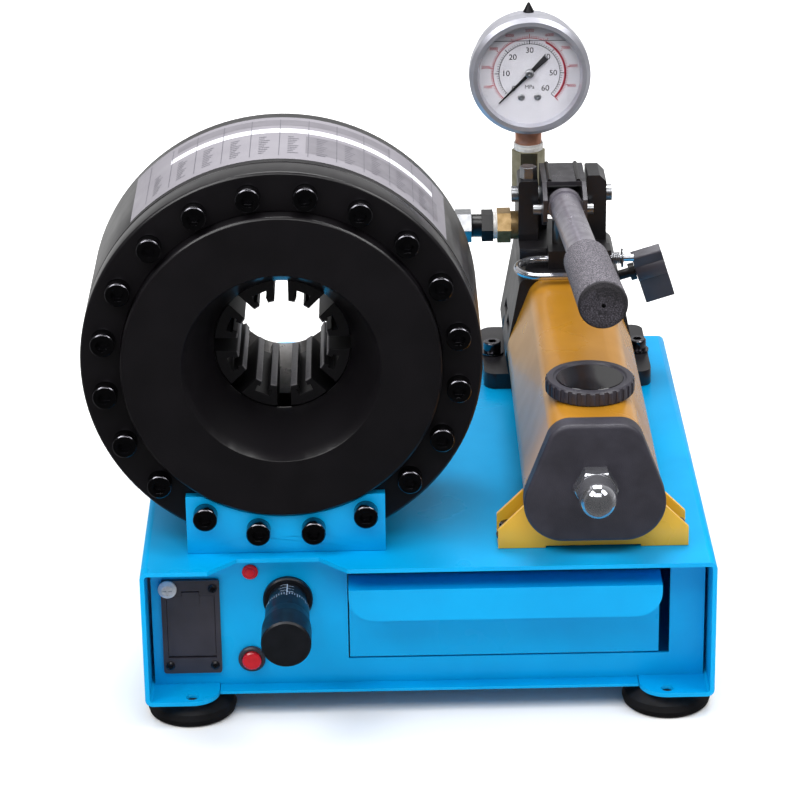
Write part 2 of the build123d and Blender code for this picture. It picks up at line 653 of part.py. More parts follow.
def filler_cap():
    """Ribbed screw cap with a recessed top and a spigot in the tank's neck."""
    top = FILLER_HEIGHT
    cap = turned([(-FILLER_SPIGOT, 0), (-FILLER_SPIGOT, FILLER_NECK_R), (0, FILLER_NECK_R),
                  (0, FILLER_R - 1), (1, FILLER_R), (top - 1.5, FILLER_R), (top, FILLER_R - 1.5),
                  (top, FILLER_R - 5), (top - 1.2, FILLER_R - 5.8), (top - 1.2, 0)],
                 at(PUMP_X, FILLER_FRONT, TANK_TOP + SLIDE_GAP), (0, 0, 1))
    groove = Pos(FILLER_R + 0.3, 0, top / 2 + 1) * Box(2.2, 3.0, top + 1)
    place = Pos(*at(PUMP_X, FILLER_FRONT, TANK_TOP + SLIDE_GAP))
    grooves = [place * Rot(0, 0, 360 / FILLER_RIBS * k) * groove for k in range(FILLER_RIBS)]
    return cap - grooves


def tank_bracket():
    """Yellow cradle: a foot plate between two webs cut to the tank's outline."""
    slope = BRACKET_SHOULDER + (BRACKET_HALF - 44.5)
    web = Polygon((-BRACKET_HALF, 0), (-33, 0), (-31.5, 1.5), (31.5, 1.5), (33, 0), (BRACKET_HALF, 0),
                  (BRACKET_HALF, BRACKET_SHOULDER), (44.5, slope), (-44.5, slope),
                  (-BRACKET_HALF, BRACKET_SHOULDER), align=None)
    web -= tank_outline(SLIDE_GAP)
    far = TANK_FRONT + BRACKET_DEPTH
    bracket = along_pump(web, TANK_FRONT + SLIDE_GAP, TANK_FRONT + BRACKET_WEB)
    bracket += along_pump(web, far - BRACKET_WEB, far)
    foot = block(at(PUMP_X - BRACKET_HALF, TANK_FRONT + SLIDE_GAP, 0), at(PUMP_X + BRACKET_HALF, far, BRACKET_WEB))
    foot -= block(at(PUMP_X - 31.5, TANK_FRONT - 1, -1), at(PUMP_X + 31.5, far + 1, 1.5))
    bracket += foot
    for side in (-1, 1):
        x = PUMP_X + side * BRACKET_BOLT_X
        y = TANK_FRONT + BRACKET_DEPTH / 2
        bracket -= rod(M8_R + BOLT_CLEARANCE, at(x, y, -1), at(x, y, BRACKET_WEB + 1))
    return bracket


def pump_bolts():
    """Screws that hold the bracket and the pump's foot, each on its washer."""
    pieces = []
    for side in (-1, 1):
        for x, y, seat in ((BRACKET_BOLT_X, TANK_FRONT + BRACKET_DEPTH / 2, BRACKET_WEB),
                           (PUMP_BOLT_X, PUMP_BOLT_Y, PUMP_FOOT_THICK)):
            centre = PUMP_X + side * x
            washer = rod(WASHER_R, at(centre, y, seat), at(centre, y, seat + WASHER_THICK))
            washer -= rod(M8_R + RUN_FIT, at(centre, y, seat - 1), at(centre, y, seat + WASHER_THICK + 1))
            length = seat + WASHER_THICK + FRAME_SHEET + 8
            screw = cap_screw(M8_HEAD_R, M8_HEAD, M8_SOCKET, M8_R, length,
                              at(centre, y, seat + WASHER_THICK), (0, 0, -1))
            pieces += [washer, screw]
    return pieces


def valve_axis():
    """Start point on the pump's right flank and outward direction of the release valve."""
    return Vector(*at(PUMP_X + VALVE_X, VALVE_Y, VALVE_Z)), Vector(cos(radians(VALVE_TILT)), 0, sin(radians(VALVE_TILT)))


def pump_body():
    """Cast pump: foot, flanked hull, plunger block, lever fork, gauge boss and hook lug."""
    foot = block(at(PUMP_X - PUMP_FOOT_HALF, PUMP_FOOT_FRONT, 0),
                 at(PUMP_X + PUMP_FOOT_HALF, PUMP_FOOT_REAR, PUMP_FOOT_THICK))
    foot = fillet(foot.edges().filter_by(Axis.Z), 9)
    hull = Polygon((-42, 0), (42, 0), (47, 32), (36, TANK_TOP), (-36, TANK_TOP), (-47, 32), align=None)
    hull = fillet([v for v in hull.vertices() if v.Y > 20], 7)
    body = foot + along_pump(hull, TANK_REAR, PUMP_HULL_REAR)
    body += block(at(FORK_X - FORK_OUTER_HALF, HOOK_Y + 8, TANK_TOP - 12),
                  at(FORK_X + FORK_OUTER_HALF, PUMP_HULL_REAR, PUMP_BLOCK_TOP))
    for side, top, chamfer in ((-1, FORK_LEFT_TOP, 1.5), (1, FORK_RIGHT_TOP, 5)):
        upright = Polygon((side * FORK_GAP_HALF, TANK_TOP), (side * FORK_OUTER_HALF, TANK_TOP),
                          (side * FORK_OUTER_HALF, top - chamfer), (side * (FORK_OUTER_HALF - chamfer), top),
                          (side * (FORK_GAP_HALF + 1), top), (side * FORK_GAP_HALF, top - 1), align=None)
        body += Pos(FORK_X - PUMP_X, 0, 0) * along_pump(upright, FORK_FRONT, FORK_REAR)
    body += block(at(FORK_X - FORK_OUTER_HALF, GAUGE_BOSS_FRONT, TANK_TOP - 12),
                  at(PUMP_X + GAUGE_X + 13, GAUGE_BOSS_REAR, GAUGE_BOSS_TOP))
    body += block(at(PUMP_X + HOOK_LUG_LEFT, HOOK_Y - 7, TANK_TOP - 12),
                  at(PUMP_X + HOOK_LUG_RIGHT, HOOK_Y + 9, HOOK_LUG_TOP))
    body -= rod(HOOK_R + RUN_FIT, at(PUMP_X - 30, HOOK_Y, HOOK_Z), at(PUMP_X + 50, HOOK_Y, HOOK_Z))
    body -= rod(PIVOT_R + RUN_FIT, at(FORK_X - 50, PIVOT_Y, PIVOT_Z), at(FORK_X + 50, PIVOT_Y, PIVOT_Z))
    body -= rod(PLUNGER_R + RUN_FIT, at(FORK_X, LINK_Y, PLUNGER_BORE_BOTTOM), at(FORK_X, LINK_Y, HOOK_LUG_TOP + 1))
    body -= rod(TIE_ROD_R + RUN_FIT, at(PUMP_X, TANK_REAR - 1, TIE_ROD_HEIGHT), at(PUMP_X, TANK_REAR + 11, TIE_ROD_HEIGHT))
    for side in (-1, 1):
        x = PUMP_X + side * PUMP_BOLT_X
        body -= rod(M8_R + BOLT_CLEARANCE, at(x, PUMP_BOLT_Y, -1), at(x, PUMP_BOLT_Y, PUMP_FOOT_THICK + 1))
        body -= rod(WASHER_R + 1.5, at(x, PUMP_BOLT_Y, PUMP_FOOT_THICK), at(x, PUMP_BOLT_Y, PUMP_FOOT_THICK + 30))
        for y in (312, 346):
            pocket = Rot(0, side * 9, 0) * Box(6, 24, 15)
            body -= Pos(*at(PUMP_X + side * 46.5, y, 52)) * pocket
    start, outward = valve_axis()
    body -= rod(VALVE_STEM_R + RUN_FIT, tuple(start - outward * 22), tuple(start + outward * 20))
    return body


# ---------------------------------------------------------------- pump lever
def socket_channel():
    """Folded channel that turns on the fork's pin and holds the lever tube."""
    outline = [(SOCKET_REAR, SOCKET_TOP), (SOCKET_ROOF_FRONT, SOCKET_TOP), (SOCKET_FRONT, 148),
               (SOCKET_FRONT + 2, 131), (LINK_Y - 10, 123), (LINK_Y + 10, 123.5), (SOCKET_REAR, 129)]

    def slab(points, width):
        plane = Plane(origin=at(FORK_X, 0, 0), x_dir=(0, 1, 0), z_dir=(1, 0, 0))
        return extrude(plane * Polygon(*points, align=None), width, both=True)

    channel = slab(outline, SOCKET_HALF)
    room = [(SOCKET_FRONT - 5, 100), (SOCKET_REAR + 5, 100), (SOCKET_REAR + 5, SOCKET_TOP - SOCKET_SHEET),
            (SOCKET_ROOF_FRONT, SOCKET_TOP - SOCKET_SHEET), (SOCKET_ROOF_FRONT, SOCKET_TOP + 5),
            (SOCKET_FRONT - 5, SOCKET_TOP + 5)]
    channel -= slab(room, SOCKET_ROOM)
    channel -= rod(PIVOT_R + RUN_FIT, at(FORK_X - 50, PIVOT_Y, PIVOT_Z), at(FORK_X + 50, PIVOT_Y, PIVOT_Z))
    channel -= rod(LINK_R + RUN_FIT, at(FORK_X - 50, LINK_Y, LINK_Z), at(FORK_X + 50, LINK_Y, LINK_Z))
    return channel


def lever_line():
    """Rear point of the lever tube and the direction it runs in, forwards and slightly up."""
    rise = radians(LEVER_RISE)
    lean = radians(LEVER_LEAN)
    rear_z = PIVOT_Z + 1 + (PIVOT_Y - TUBE_REAR) * tan(rise)
    start = Vector(*at(FORK_X, TUBE_REAR, rear_z))
    return start, Vector(sin(lean) * cos(rise), -cos(lean) * cos(rise), sin(rise))


def lever_tube():
    start, forward = lever_line()
    end = start + forward * TUBE_LENGTH
    tube = rod(TUBE_R, tuple(start), tuple(end))
    tube += rod(SOCKET_ROOM - SLIDE_GAP, tuple(start), tuple(start + forward * TUBE_COLLAR))
    return tube - rod(TUBE_R - TUBE_WALL, tuple(start - forward), tuple(end + forward))


def lever_grip():
    start, forward = lever_line()
    rear = TUBE_LENGTH + GRIP_END - GRIP_LENGTH
    front = TUBE_LENGTH + GRIP_END
    inner = TUBE_R + RUN_FIT
    closed = TUBE_LENGTH + RUN_FIT
    profile = [(rear, inner), (rear, GRIP_REAR_R - 2), (rear + 2, GRIP_REAR_R), (front - 4, GRIP_R),
               (front - 1.2, GRIP_R - 1.2), (front, GRIP_R - 4), (front, 1.5), (closed, 1.5), (closed, inner)]
    return turned(profile, tuple(start), tuple(forward))


def plunger():
    """Pump plunger with a slotted eye for the link pin."""
    lift = LINK_ARM * (1 - cos(radians(LEVER_SWING - LINK_DROP)))
    stem = rod(PLUNGER_R, at(FORK_X, LINK_Y, PLUNGER_BOTTOM), at(FORK_X, LINK_Y, LINK_Z - 8))
    slot_front = LINK_Y - LINK_R - 1
    slot_rear = LINK_Y + LINK_R + lift + 0.5
    slot_half = LINK_R + 0.9
    eye = block(at(FORK_X - 6, slot_front - 3, LINK_Z - 10), at(FORK_X + 6, slot_rear + 3, LINK_Z + slot_half + 3))
    slot = block(at(FORK_X - 7, slot_front, LINK_Z - slot_half), at(FORK_X + 7, slot_rear, LINK_Z + slot_half))
    return stem + eye - slot


# ---------------------------------------------------------------- hook and valve
def lock_hook():
    """J-shaped wire hook: long leg through the pump, bend at the left, short leg in front."""
    bend_x = PUMP_X + HOOK_BEND_X
    right = at(PUMP_X + HOOK_RIGHT_END, HOOK_Y, HOOK_Z)
    near = at(bend_x, HOOK_Y, HOOK_Z)
    far_left = at(bend_x - HOOK_BEND, HOOK_Y - HOOK_BEND, HOOK_Z)
    front = at(bend_x, HOOK_Y - 2 * HOOK_BEND, HOOK_Z)
    front_end = at(PUMP_X + HOOK_FRONT_END, HOOK_Y - 2 * HOOK_BEND, HOOK_Z)
    path = Line(right, near) + ThreePointArc(near, far_left, front) + Line(front, front_end)
    section = Plane(origin=right, z_dir=(-1, 0, 0)) * Circle(HOOK_R)
    return sweep(section, path)


def hook_spring_and_washer():
    """Envelope of the small coil spring on the hook's leg, and the washer that holds it."""
    start = PUMP_X + HOOK_LUG_RIGHT + SLIDE_GAP
    washer_x = PUMP_X + HOOK_RIGHT_END - 9
    hole = HOOK_R + RUN_FIT
    spring = rod(HOOK_SPRING_R, at(start, HOOK_Y, HOOK_Z), at(washer_x, HOOK_Y, HOOK_Z))
    spring -= rod(hole, at(start - 1, HOOK_Y, HOOK_Z), at(washer_x + 1, HOOK_Y, HOOK_Z))
    washer = rod(HOOK_WASHER_R, at(washer_x, HOOK_Y, HOOK_Z), at(washer_x + 1.2, HOOK_Y, HOOK_Z))
    washer -= rod(hole, at(washer_x - 1, HOOK_Y, HOOK_Z), at(washer_x + 3, HOOK_Y, HOOK_Z))
    return spring, washer


def release_stem():
    start, outward = valve_axis()
    stem = rod(VALVE_STEM_R, tuple(start - outward * 20), tuple(start + outward * (KNOB_START + 8)))
    collar_start = start + outward * (KNOB_START - 5)
    return stem + rod(VALVE_COLLAR_R, tuple(collar_start), tuple(collar_start + outward * 4.5))


def release_knob():
    """Moulded flag knob: a hub on the stem with a short wing up and a long wing down."""
    start, outward = valve_axis()
    plane = Plane(origin=tuple(start + outward * KNOB_START), x_dir=(0, 1, 0), z_dir=outward)
    wing = Polygon((-KNOB_THICK / 2, -KNOB_DOWN), (KNOB_THICK / 2, -KNOB_DOWN),
                   (KNOB_THICK / 2, KNOB_UP), (-KNOB_THICK / 2, KNOB_UP), align=None)
    wing = fillet(wing.vertices(), 1.5)
    knob = extrude(plane * Rot(0, 0, KNOB_TWIST) * (wing + Circle(KNOB_HUB_R)), KNOB_WIDTH)
    return knob - rod(VALVE_STEM_R + RUN_FIT, tuple(start), tuple(start + outward * (KNOB_START + 8 + RUN_FIT)))


# ---------------------------------------------------------------- oil line
def line_pieces():
    """Bent steel pipe with its two nuts, the black nipple and the brass adapter."""
    body_side = FORK_X - FORK_OUTER_HALF
    adapter_hex = body_side - 5.5
    thread = adapter_hex - ADAPTER_HEX
    hex_end = thread - TAPED_THREAD
    hex_start = hex_end - NIPPLE_HEX
    nut_end = hex_start - NIPPLE_LENGTH
    nut_start = nut_end - PIPE_NUT_LENGTH

    def line_at(x):
        return at(x, PIVOT_Y, LINE_HEIGHT)

    adapter = rod(ADAPTER_BODY_R, line_at(adapter_hex), line_at(body_side))
    adapter += hexagon(ADAPTER_FLATS, line_at(thread), line_at(adapter_hex))
    nipple = rod(NIPPLE_R + 0.6, line_at(hex_end), line_at(thread))
    nipple += hexagon(NIPPLE_FLATS, line_at(hex_start), line_at(hex_end))
    nipple += rod(NIPPLE_R, line_at(nut_end), line_at(hex_start))
    port_seat = BODY_REAR
    port = at(LINE_PORT_X, port_seat, LINE_HEIGHT)
    rear_nut = hexagon(PIPE_NUT_FLATS, port, at(LINE_PORT_X, port_seat + PIPE_NUT_LENGTH, LINE_HEIGHT))
    side_nut = hexagon(PIPE_NUT_FLATS, line_at(nut_start), line_at(nut_end))
    bend_start = at(LINE_PORT_X, PIVOT_Y - PIPE_BEND, LINE_HEIGHT)
    bend_end = at(LINE_PORT_X + PIPE_BEND, PIVOT_Y, LINE_HEIGHT)
    path = Line(port, bend_start)
    path += RadiusArc(bend_start, bend_end, PIPE_BEND)
    path += Line(bend_end, line_at(nut_end))
    pipe = sweep(Plane(origin=port, z_dir=(0, 1, 0)) * Circle(PIPE_R), path)
    hole_a = rod(PIPE_R + RUN_FIT, at(LINE_PORT_X, port_seat - 1, LINE_HEIGHT),
                 at(LINE_PORT_X, port_seat + PIPE_NUT_LENGTH + 1, LINE_HEIGHT))
    hole_b = rod(PIPE_R + RUN_FIT, line_at(nut_start - 1), line_at(nut_end + 1))
    return pipe, rear_nut - hole_a, side_nut - hole_b, nipple, adapter


# ---------------------------------------------------------------- pressure gauge
def gauge_turned(profile):
    return turned(profile, at(PUMP_X + GAUGE_X, 0, GAUGE_CENTRE), (0, 1, 0))


def gauge_parts():
    case_front = GAUGE_FRONT + 9
    case_rear = case_front + GAUGE_CASE_DEPTH
    wall = GAUGE_CASE_WALL
    bezel_rear = GAUGE_FRONT + GAUGE_BEZEL_DEPTH
    case = gauge_turned([(case_front, GAUGE_CASE_R - wall), (case_front, GAUGE_CASE_R),
                         (case_rear - 4, GAUGE_CASE_R), (case_rear, GAUGE_CASE_R - 4), (case_rear, 0),
                         (case_rear - wall, 0), (case_rear - wall, GAUGE_CASE_R - wall)])
    x = PUMP_X + GAUGE_X
    rim_gap = sqrt((GAUGE_CASE_R - wall) ** 2 - GAUGE_STEM_R ** 2)
    stem = rod(GAUGE_STEM_R, at(x, GAUGE_STEM_Y, GAUGE_ADAPTER_TOP), at(x, GAUGE_STEM_Y, GAUGE_CENTRE - rim_gap))
    plug = turned([(-1, 0), (-1, 4), (1.5, 4), (8, 0.8), (8, 0)],
                  at(x, GAUGE_STEM_Y, GAUGE_CENTRE + GAUGE_CASE_R), (0, 0, 1))
    case += stem + plug
    bezel = gauge_turned([(GAUGE_FRONT, GAUGE_WINDOW_R + 1.5), (GAUGE_FRONT, GAUGE_BEZEL_R - 3),
                          (GAUGE_FRONT + 3, GAUGE_BEZEL_R), (bezel_rear, GAUGE_BEZEL_R),
                          (bezel_rear, GAUGE_CASE_R + SLIDE_GAP), (case_front - SLIDE_GAP, GAUGE_CASE_R + SLIDE_GAP),
                          (case_front - SLIDE_GAP, GAUGE_WINDOW_R + 2), (GAUGE_FRONT + 5, GAUGE_WINDOW_R + 2),
                          (GAUGE_FRONT + 5, GAUGE_WINDOW_R)])
    glass_front = GAUGE_FRONT + 5
    glass = gauge_turned([(glass_front, 0), (glass_front, GAUGE_WINDOW_R + 1.7),
                          (glass_front + 2, GAUGE_WINDOW_R + 1.7), (glass_front + 2, 0)])
    dial_front = case_front + 2
    dial_r = GAUGE_CASE_R - wall - SLIDE_GAP
    dial = gauge_turned([(dial_front, 0), (dial_front, dial_r), (dial_front + 1, dial_r), (dial_front + 1, 0)])
    return case, bezel, glass, dial, dial_front


def gauge_needle(dial_front):
    """Pointer at rest on zero, at the lower left."""
    plane = Plane(origin=at(PUMP_X + GAUGE_X, dial_front - 0.9, GAUGE_CENTRE), x_dir=(-1, 0, -1), z_dir=(0, -1, 0))
    pointer = Polygon((0, -1.3), (NEEDLE_REACH, -0.35), (NEEDLE_REACH, 0.35), (0, 1.3),
                      (-NEEDLE_TAIL, 2.2), (-NEEDLE_TAIL, -2.2), align=None)
    needle = extrude(plane * (pointer + Circle(NEEDLE_HUB_R)), 0.8)
    return needle


# ---------------------------------------------------------------- drawer
def drawer():
    """Folded tray with an upright front and a hooded pull."""
    left = DRAWER_LEFT
    right = DRAWER_LEFT + DRAWER_WIDTH
    front = PANEL_Y
    sheet = DRAWER_SHEET
    tray_left = left + 3
    tray_right = right - 3
    rear = front + DRAWER_DEPTH
    tray = block((tray_left, front + sheet / 2, DRAWER_BOTTOM + 2), (tray_right, rear, DRAWER_BOTTOM + 2 + DRAWER_WALL_HEIGHT))
    tray -= block((tray_left + sheet, front, DRAWER_BOTTOM + 2 + sheet), (tray_right - sheet, rear - sheet, PLATE))
    face = block((left, front, DRAWER_BOTTOM), (right, front + sheet, DRAWER_TOP))
    hood = block((left, front - PULL_REACH, DRAWER_TOP - sheet), (right, front, DRAWER_TOP))
    lip = block((left, front - PULL_REACH, DRAWER_TOP - PULL_DROP), (right, front - PULL_REACH + sheet, DRAWER_TOP))
    corners = [edge for edge in lip.edges().filter_by(Axis.Y) if edge.center().Z < DRAWER_TOP - sheet]
    lip = fillet(corners, PULL_CORNER)
    return tray + face + hood + lip


def drawer_runners():
    """Two angle rails under the tray, from the front panel to the rear panel."""
    start = PANEL_Y + PANEL_SHEET
    end = -FRONT - PANEL_INSET - PANEL_SHEET
    floor = DRAWER_BOTTOM + 2 - SLIDE_GAP
    rails = []
    for outer, inward in ((DRAWER_LEFT + 3 - SLIDE_GAP - RUNNER_SHEET, 1),
                          (DRAWER_LEFT + DRAWER_WIDTH - 3 + SLIDE_GAP + RUNNER_SHEET, -1)):
        inner = outer + inward * RUNNER_WIDTH
        web = outer + inward * RUNNER_SHEET
        rail = block((min(outer, inner), start, floor - RUNNER_SHEET), (max(outer, inner), end, floor))
        rail += block((min(outer, web), start, floor - RUNNER_SHEET), (max(outer, web), end, floor + 18))
        rails.append(rail)
    return rails


# ---------------------------------------------------------------- battery box, lamp, button
def battery_screw_places():
    return [(BATTERY_X + sx * BOX_SCREW_X, BATTERY_Z + sz * BOX_SCREW_Z) for sx in (-1, 1) for sz in (-1, 1)]


def battery_box():
    """Black bezel with the battery compartment behind the panel, open at the front."""
    front = PANEL_Y - BATTERY_BEZEL
    bezel = block((BATTERY_X - BATTERY_WIDTH / 2, front, BATTERY_Z - BATTERY_HEIGHT / 2),
                  (BATTERY_X + BATTERY_WIDTH / 2, PANEL_Y, BATTERY_Z + BATTERY_HEIGHT / 2))
    bezel = fillet(bezel.edges().filter_by(Axis.Y), 2)
    half_x = DOOR_WIDTH / 2 + 1.5
    half_z = DOOR_HEIGHT / 2 + 1.5
    box = bezel + block((BATTERY_X - half_x, PANEL_Y, DOOR_Z - half_z),
                        (BATTERY_X + half_x, PANEL_Y + BATTERY_DEPTH, DOOR_Z + half_z))
    open_x = DOOR_WIDTH / 2 + SLIDE_GAP
    open_z = DOOR_HEIGHT / 2 + SLIDE_GAP
    box -= block((BATTERY_X - open_x, front - 1, DOOR_Z - open_z),
                 (BATTERY_X + open_x, PANEL_Y + BATTERY_DEPTH - 1.5, DOOR_Z + open_z))
    box -= block((BATTERY_X - LATCH_WIDTH / 2 - SLIDE_GAP, front - 1, DOOR_Z + open_z - 1),
                 (BATTERY_X + LATCH_WIDTH / 2 + SLIDE_GAP, front + 1.6, DOOR_Z + open_z + 3.4))
    for x, z in battery_screw_places():
        box -= rod(1.7, (x, front - 1, z), (x, PANEL_Y + 1, z))
    pin_z = DOOR_Z - DOOR_HEIGHT / 2 + DOOR_PIN_R + 0.3
    pin_y = front + DOOR_PIN_R + 0.6
    box -= rod(DOOR_PIN_R + RUN_FIT, (BATTERY_X - open_x - 1.2, pin_y, pin_z), (BATTERY_X + open_x + 1.2, pin_y, pin_z))
    return box


def battery_door():
    """Snap door, hinged on two pips at its lower edge, with a latch tab at the top."""
    front = PANEL_Y - BATTERY_BEZEL + 0.4
    low = DOOR_Z - DOOR_HEIGHT / 2
    pin_z = low + DOOR_PIN_R + 0.3
    pin_y = PANEL_Y - BATTERY_BEZEL + DOOR_PIN_R + 0.6
    half = DOOR_WIDTH / 2
    door = block((BATTERY_X - half, front, pin_z), (BATTERY_X + half, front + DOOR_THICK, DOOR_Z + DOOR_HEIGHT / 2))
    door += block((BATTERY_X - LATCH_WIDTH / 2, front - 0.6, DOOR_Z + DOOR_HEIGHT / 2 - 6),
                  (BATTERY_X + LATCH_WIDTH / 2, front + 0.9, DOOR_Z + DOOR_HEIGHT / 2 + 3))
    pips = rod(DOOR_PIN_R, (BATTERY_X - half - 1.2, pin_y, pin_z), (BATTERY_X + half + 1.2, pin_y, pin_z))
    return door + pips


def battery_box_screws():
    """Three small black screws and the larger plated one at the top left."""
    front = PANEL_Y - BATTERY_BEZEL
    screws = []
    for x, z in battery_screw_places():
        big = x < BATTERY_X and z > BATTERY_Z
        radius = ZINC_SCREW_R if big else BOX_SCREW_R
        height = 3.0 if big else 1.6
        head = turned([(0, 0), (0, radius), (height * 0.4, radius), (height, radius * 0.6), (height, 0)],
                      (x, front, z), (0, -1, 0))
        slot = Box(radius * 1.1, 1.4, 0.9)
        cross = Pos(x, front - height, z) * (slot + Rot(0, 90, 0) * slot)
        screws.append(head - cross + rod(1.5, (x, front, z), (x, front + 9, z)))
    return screws


def indicator_lamp():
    bezel = turned([(-8, LAMP_LENS_R), (-8, LAMP_LENS_R + 0.6), (0, LAMP_LENS_R + 0.6), (0, LAMP_R),
                    (1, LAMP_R), (1.8, LAMP_LENS_R + 0.6), (1.8, LAMP_LENS_R)], (LAMP_X, PANEL_Y, LAMP_Z), (0, -1, 0))
    lens_r = LAMP_LENS_R - RUN_FIT
    lens = turned([(-8, 0), (-8, lens_r), (1.8, lens_r), (2.8, lens_r * 0.8), (3.3, lens_r * 0.4), (3.4, 0)],
                  (LAMP_X, PANEL_Y, LAMP_Z), (0, -1, 0))
    return bezel, lens


def button_body():
    inner = BUTTON_CAP_R + SLIDE_GAP
    outer = BUTTON_CAP_R + 1.2
    return turned([(-16, 0), (-16, outer), (0, outer), (0, BUTTON_RING_R), (2, BUTTON_RING_R),
                   (3, BUTTON_RING_R - 1), (3, inner), (-6, inner), (-6, 0)],
                  (BUTTON_X, PANEL_Y, BUTTON_Z), (0, -1, 0))


def button_cap():
    front = 3 + BUTTON_TRAVEL
    return turned([(-6 + BUTTON_TRAVEL + SLIDE_GAP, 0), (-6 + BUTTON_TRAVEL + SLIDE_GAP, BUTTON_CAP_R),
                   (front - 0.8, BUTTON_CAP_R), (front, BUTTON_CAP_R - 0.8), (front, 0)],
                  (BUTTON_X, PANEL_Y, BUTTON_Z), (0, -1, 0))


# ---------------------------------------------------------------- micrometer
def dial_turned(profile):
    return turned(profile, (DIAL_X, FRONT, DIAL_Z), (0, 1, 0))


def micrometer_sleeve():
    """Collar on the panel with the scaled sleeve in front and its nut behind."""
    face = PANEL_INSET - DIAL_COLLAR
    tip = THIMBLE_START - 20
    inner = SPINDLE_R + RUN_FIT
    behind = PANEL_INSET + PANEL_SHEET
    return dial_turned([(tip, inner), (tip, SLEEVE_R), (face, SLEEVE_R), (face, DIAL_COLLAR_R - 1),
                        (face + 1, DIAL_COLLAR_R), (PANEL_INSET, DIAL_COLLAR_R), (PANEL_INSET, SLEEVE_R - 3),
                        (behind + 6, SLEEVE_R - 3), (behind + 6, inner)])


def micrometer_thimble():
    """Flared turning barrel over the sleeve, closed at the front."""
    inner = SLEEVE_R + SLIDE_GAP
    floor = THIMBLE_END + 16
    return dial_turned([(THIMBLE_START, inner), (THIMBLE_START, THIMBLE_NECK_R - 0.8),
                        (THIMBLE_START - 1, THIMBLE_NECK_R), (-9, THIMBLE_NECK_R + 0.3),
                        (-20, THIMBLE_R), (THIMBLE_END + 1.2, THIMBLE_R), (THIMBLE_END, THIMBLE_R - 1.2),
                        (THIMBLE_END, 0), (floor - THIMBLE_WALL, 0), (floor - THIMBLE_WALL, SPINDLE_R + RUN_FIT),
                        (floor, SPINDLE_R + RUN_FIT), (floor, inner)])


def micrometer_spindle():
    """Threaded spindle turned by the thimble, reaching in behind the panel."""
    start = THIMBLE_END + 16 - THIMBLE_WALL + SPINDLE_TRAVEL + SLIDE_GAP
    return dial_turned([(start, 0), (start, SPINDLE_R), (SPINDLE_REAR - 2, SPINDLE_R),
                        (SPINDLE_REAR, SPINDLE_R - 2), (SPINDLE_REAR, 0)])


# ---------------------------------------------------------------- write the parts
os.makedirs("parts", exist_ok=True)

save("base_frame", base_frame())
save("front_panel", front_panel())
save("rubber_feet", *[rubber_foot(x, y) for x, y in lip_positions(FOOT_IN_X, FOOT_IN_Y)])
save("head_saddle_front", saddle(RING_FACE - SADDLE_THICK, BOSS_R + 1.5))
save("head_saddle_rear", saddle(BODY_REAR, GLAND_R + 1))

save("cylinder_body", cylinder_body())
save("front_ring", front_ring())
save("front_cone", front_cone())
ring_screw = RING_THICK + THREAD_DEPTH
save("ring_bolts", *[m10(angle, RING_FACE, ring_screw, (0, 1, 0)) for angle in ring_bolt_angles()])
front_screws = [m10(angle, RING_FACE - SADDLE_THICK, SADDLE_THICK + ring_screw, (0, 1, 0))
                for angle in saddle_bolt_angles()]
rear_screws = [m10(angle, BODY_REAR + SADDLE_THICK, SADDLE_THICK + REAR_WALL - 3, (0, -1, 0))
               for angle in saddle_bolt_angles()]
save("saddle_bolts", *front_screws, *rear_screws)
save("rear_gland", rear_gland())
piston_solid, piston_seal = piston()
save("piston", piston_solid)
save("piston_seal", piston_seal)
for number in range(1, JAW_COUNT + 1):
    save(f"jaw_{number}", jaw(number))

save("oil_tank", oil_tank())
save("tank_end_cap", tank_end_cap())
save("tie_rod", *tie_rod_and_nut())
save("filler_cap", filler_cap())
save("tank_bracket", tank_bracket())
save("pump_bolts", *pump_bolts())
save("pump_body", pump_body())
save("pivot_pin", rod(PIVOT_R, at(FORK_X - PIVOT_HALF, PIVOT_Y, PIVOT_Z), at(FORK_X + PIVOT_HALF, PIVOT_Y, PIVOT_Z)))
save("relief_plug", hexagon(11, at(FORK_X - FORK_GAP_HALF - 7, FORK_FRONT + 9, FORK_LEFT_TOP),
                            at(FORK_X - FORK_GAP_HALF - 7, FORK_FRONT + 9, FORK_LEFT_TOP + 9)))
save("lever_socket", socket_channel())
save("lever_tube", lever_tube())
save("lever_grip", lever_grip())
save("link_pin", rod(LINK_R, at(FORK_X - LINK_HALF, LINK_Y, LINK_Z), at(FORK_X + LINK_HALF, LINK_Y, LINK_Z)))
save("plunger", plunger())
save("lock_hook", lock_hook())
save("hook_spring", *hook_spring_and_washer())
save("release_stem", release_stem())
save("release_knob", release_knob())

pipe, rear_nut, side_nut, nipple, adapter = line_pieces()
save("hydraulic_pipe", pipe)
save("pipe_nuts", rear_nut, side_nut)
save("line_nipple", nipple)
save("outlet_adapter", adapter)

case, bezel, glass, dial, dial_front = gauge_parts()
save("gauge_adapter", hexagon(GAUGE_ADAPTER_FLATS, at(PUMP_X + GAUGE_X, GAUGE_STEM_Y, GAUGE_BOSS_TOP),
                              at(PUMP_X + GAUGE_X, GAUGE_STEM_Y, GAUGE_ADAPTER_TOP)))
save("gauge_case", case)
save("gauge_bezel", bezel)
save("gauge_glass", glass)
save("gauge_dial", dial)
save("gauge_needle", gauge_needle(dial_front))

save("drawer", drawer())
save("drawer_runners", *drawer_runners())
save("battery_box", battery_box())
save("battery_door", battery_door())
save("battery_box_screws", *battery_box_screws())
save("indicator_lamp", *indicator_lamp())
save("button_body", button_body())
save("button_cap", button_cap())
save("micrometer_sleeve", micrometer_sleeve())
save("micrometer_thimble", micrometer_thimble())
save("micrometer_spindle", micrometer_spindle())
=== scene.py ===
from math import cos, pi, radians, sin

import bpy
from mathutils import Matrix, Vector


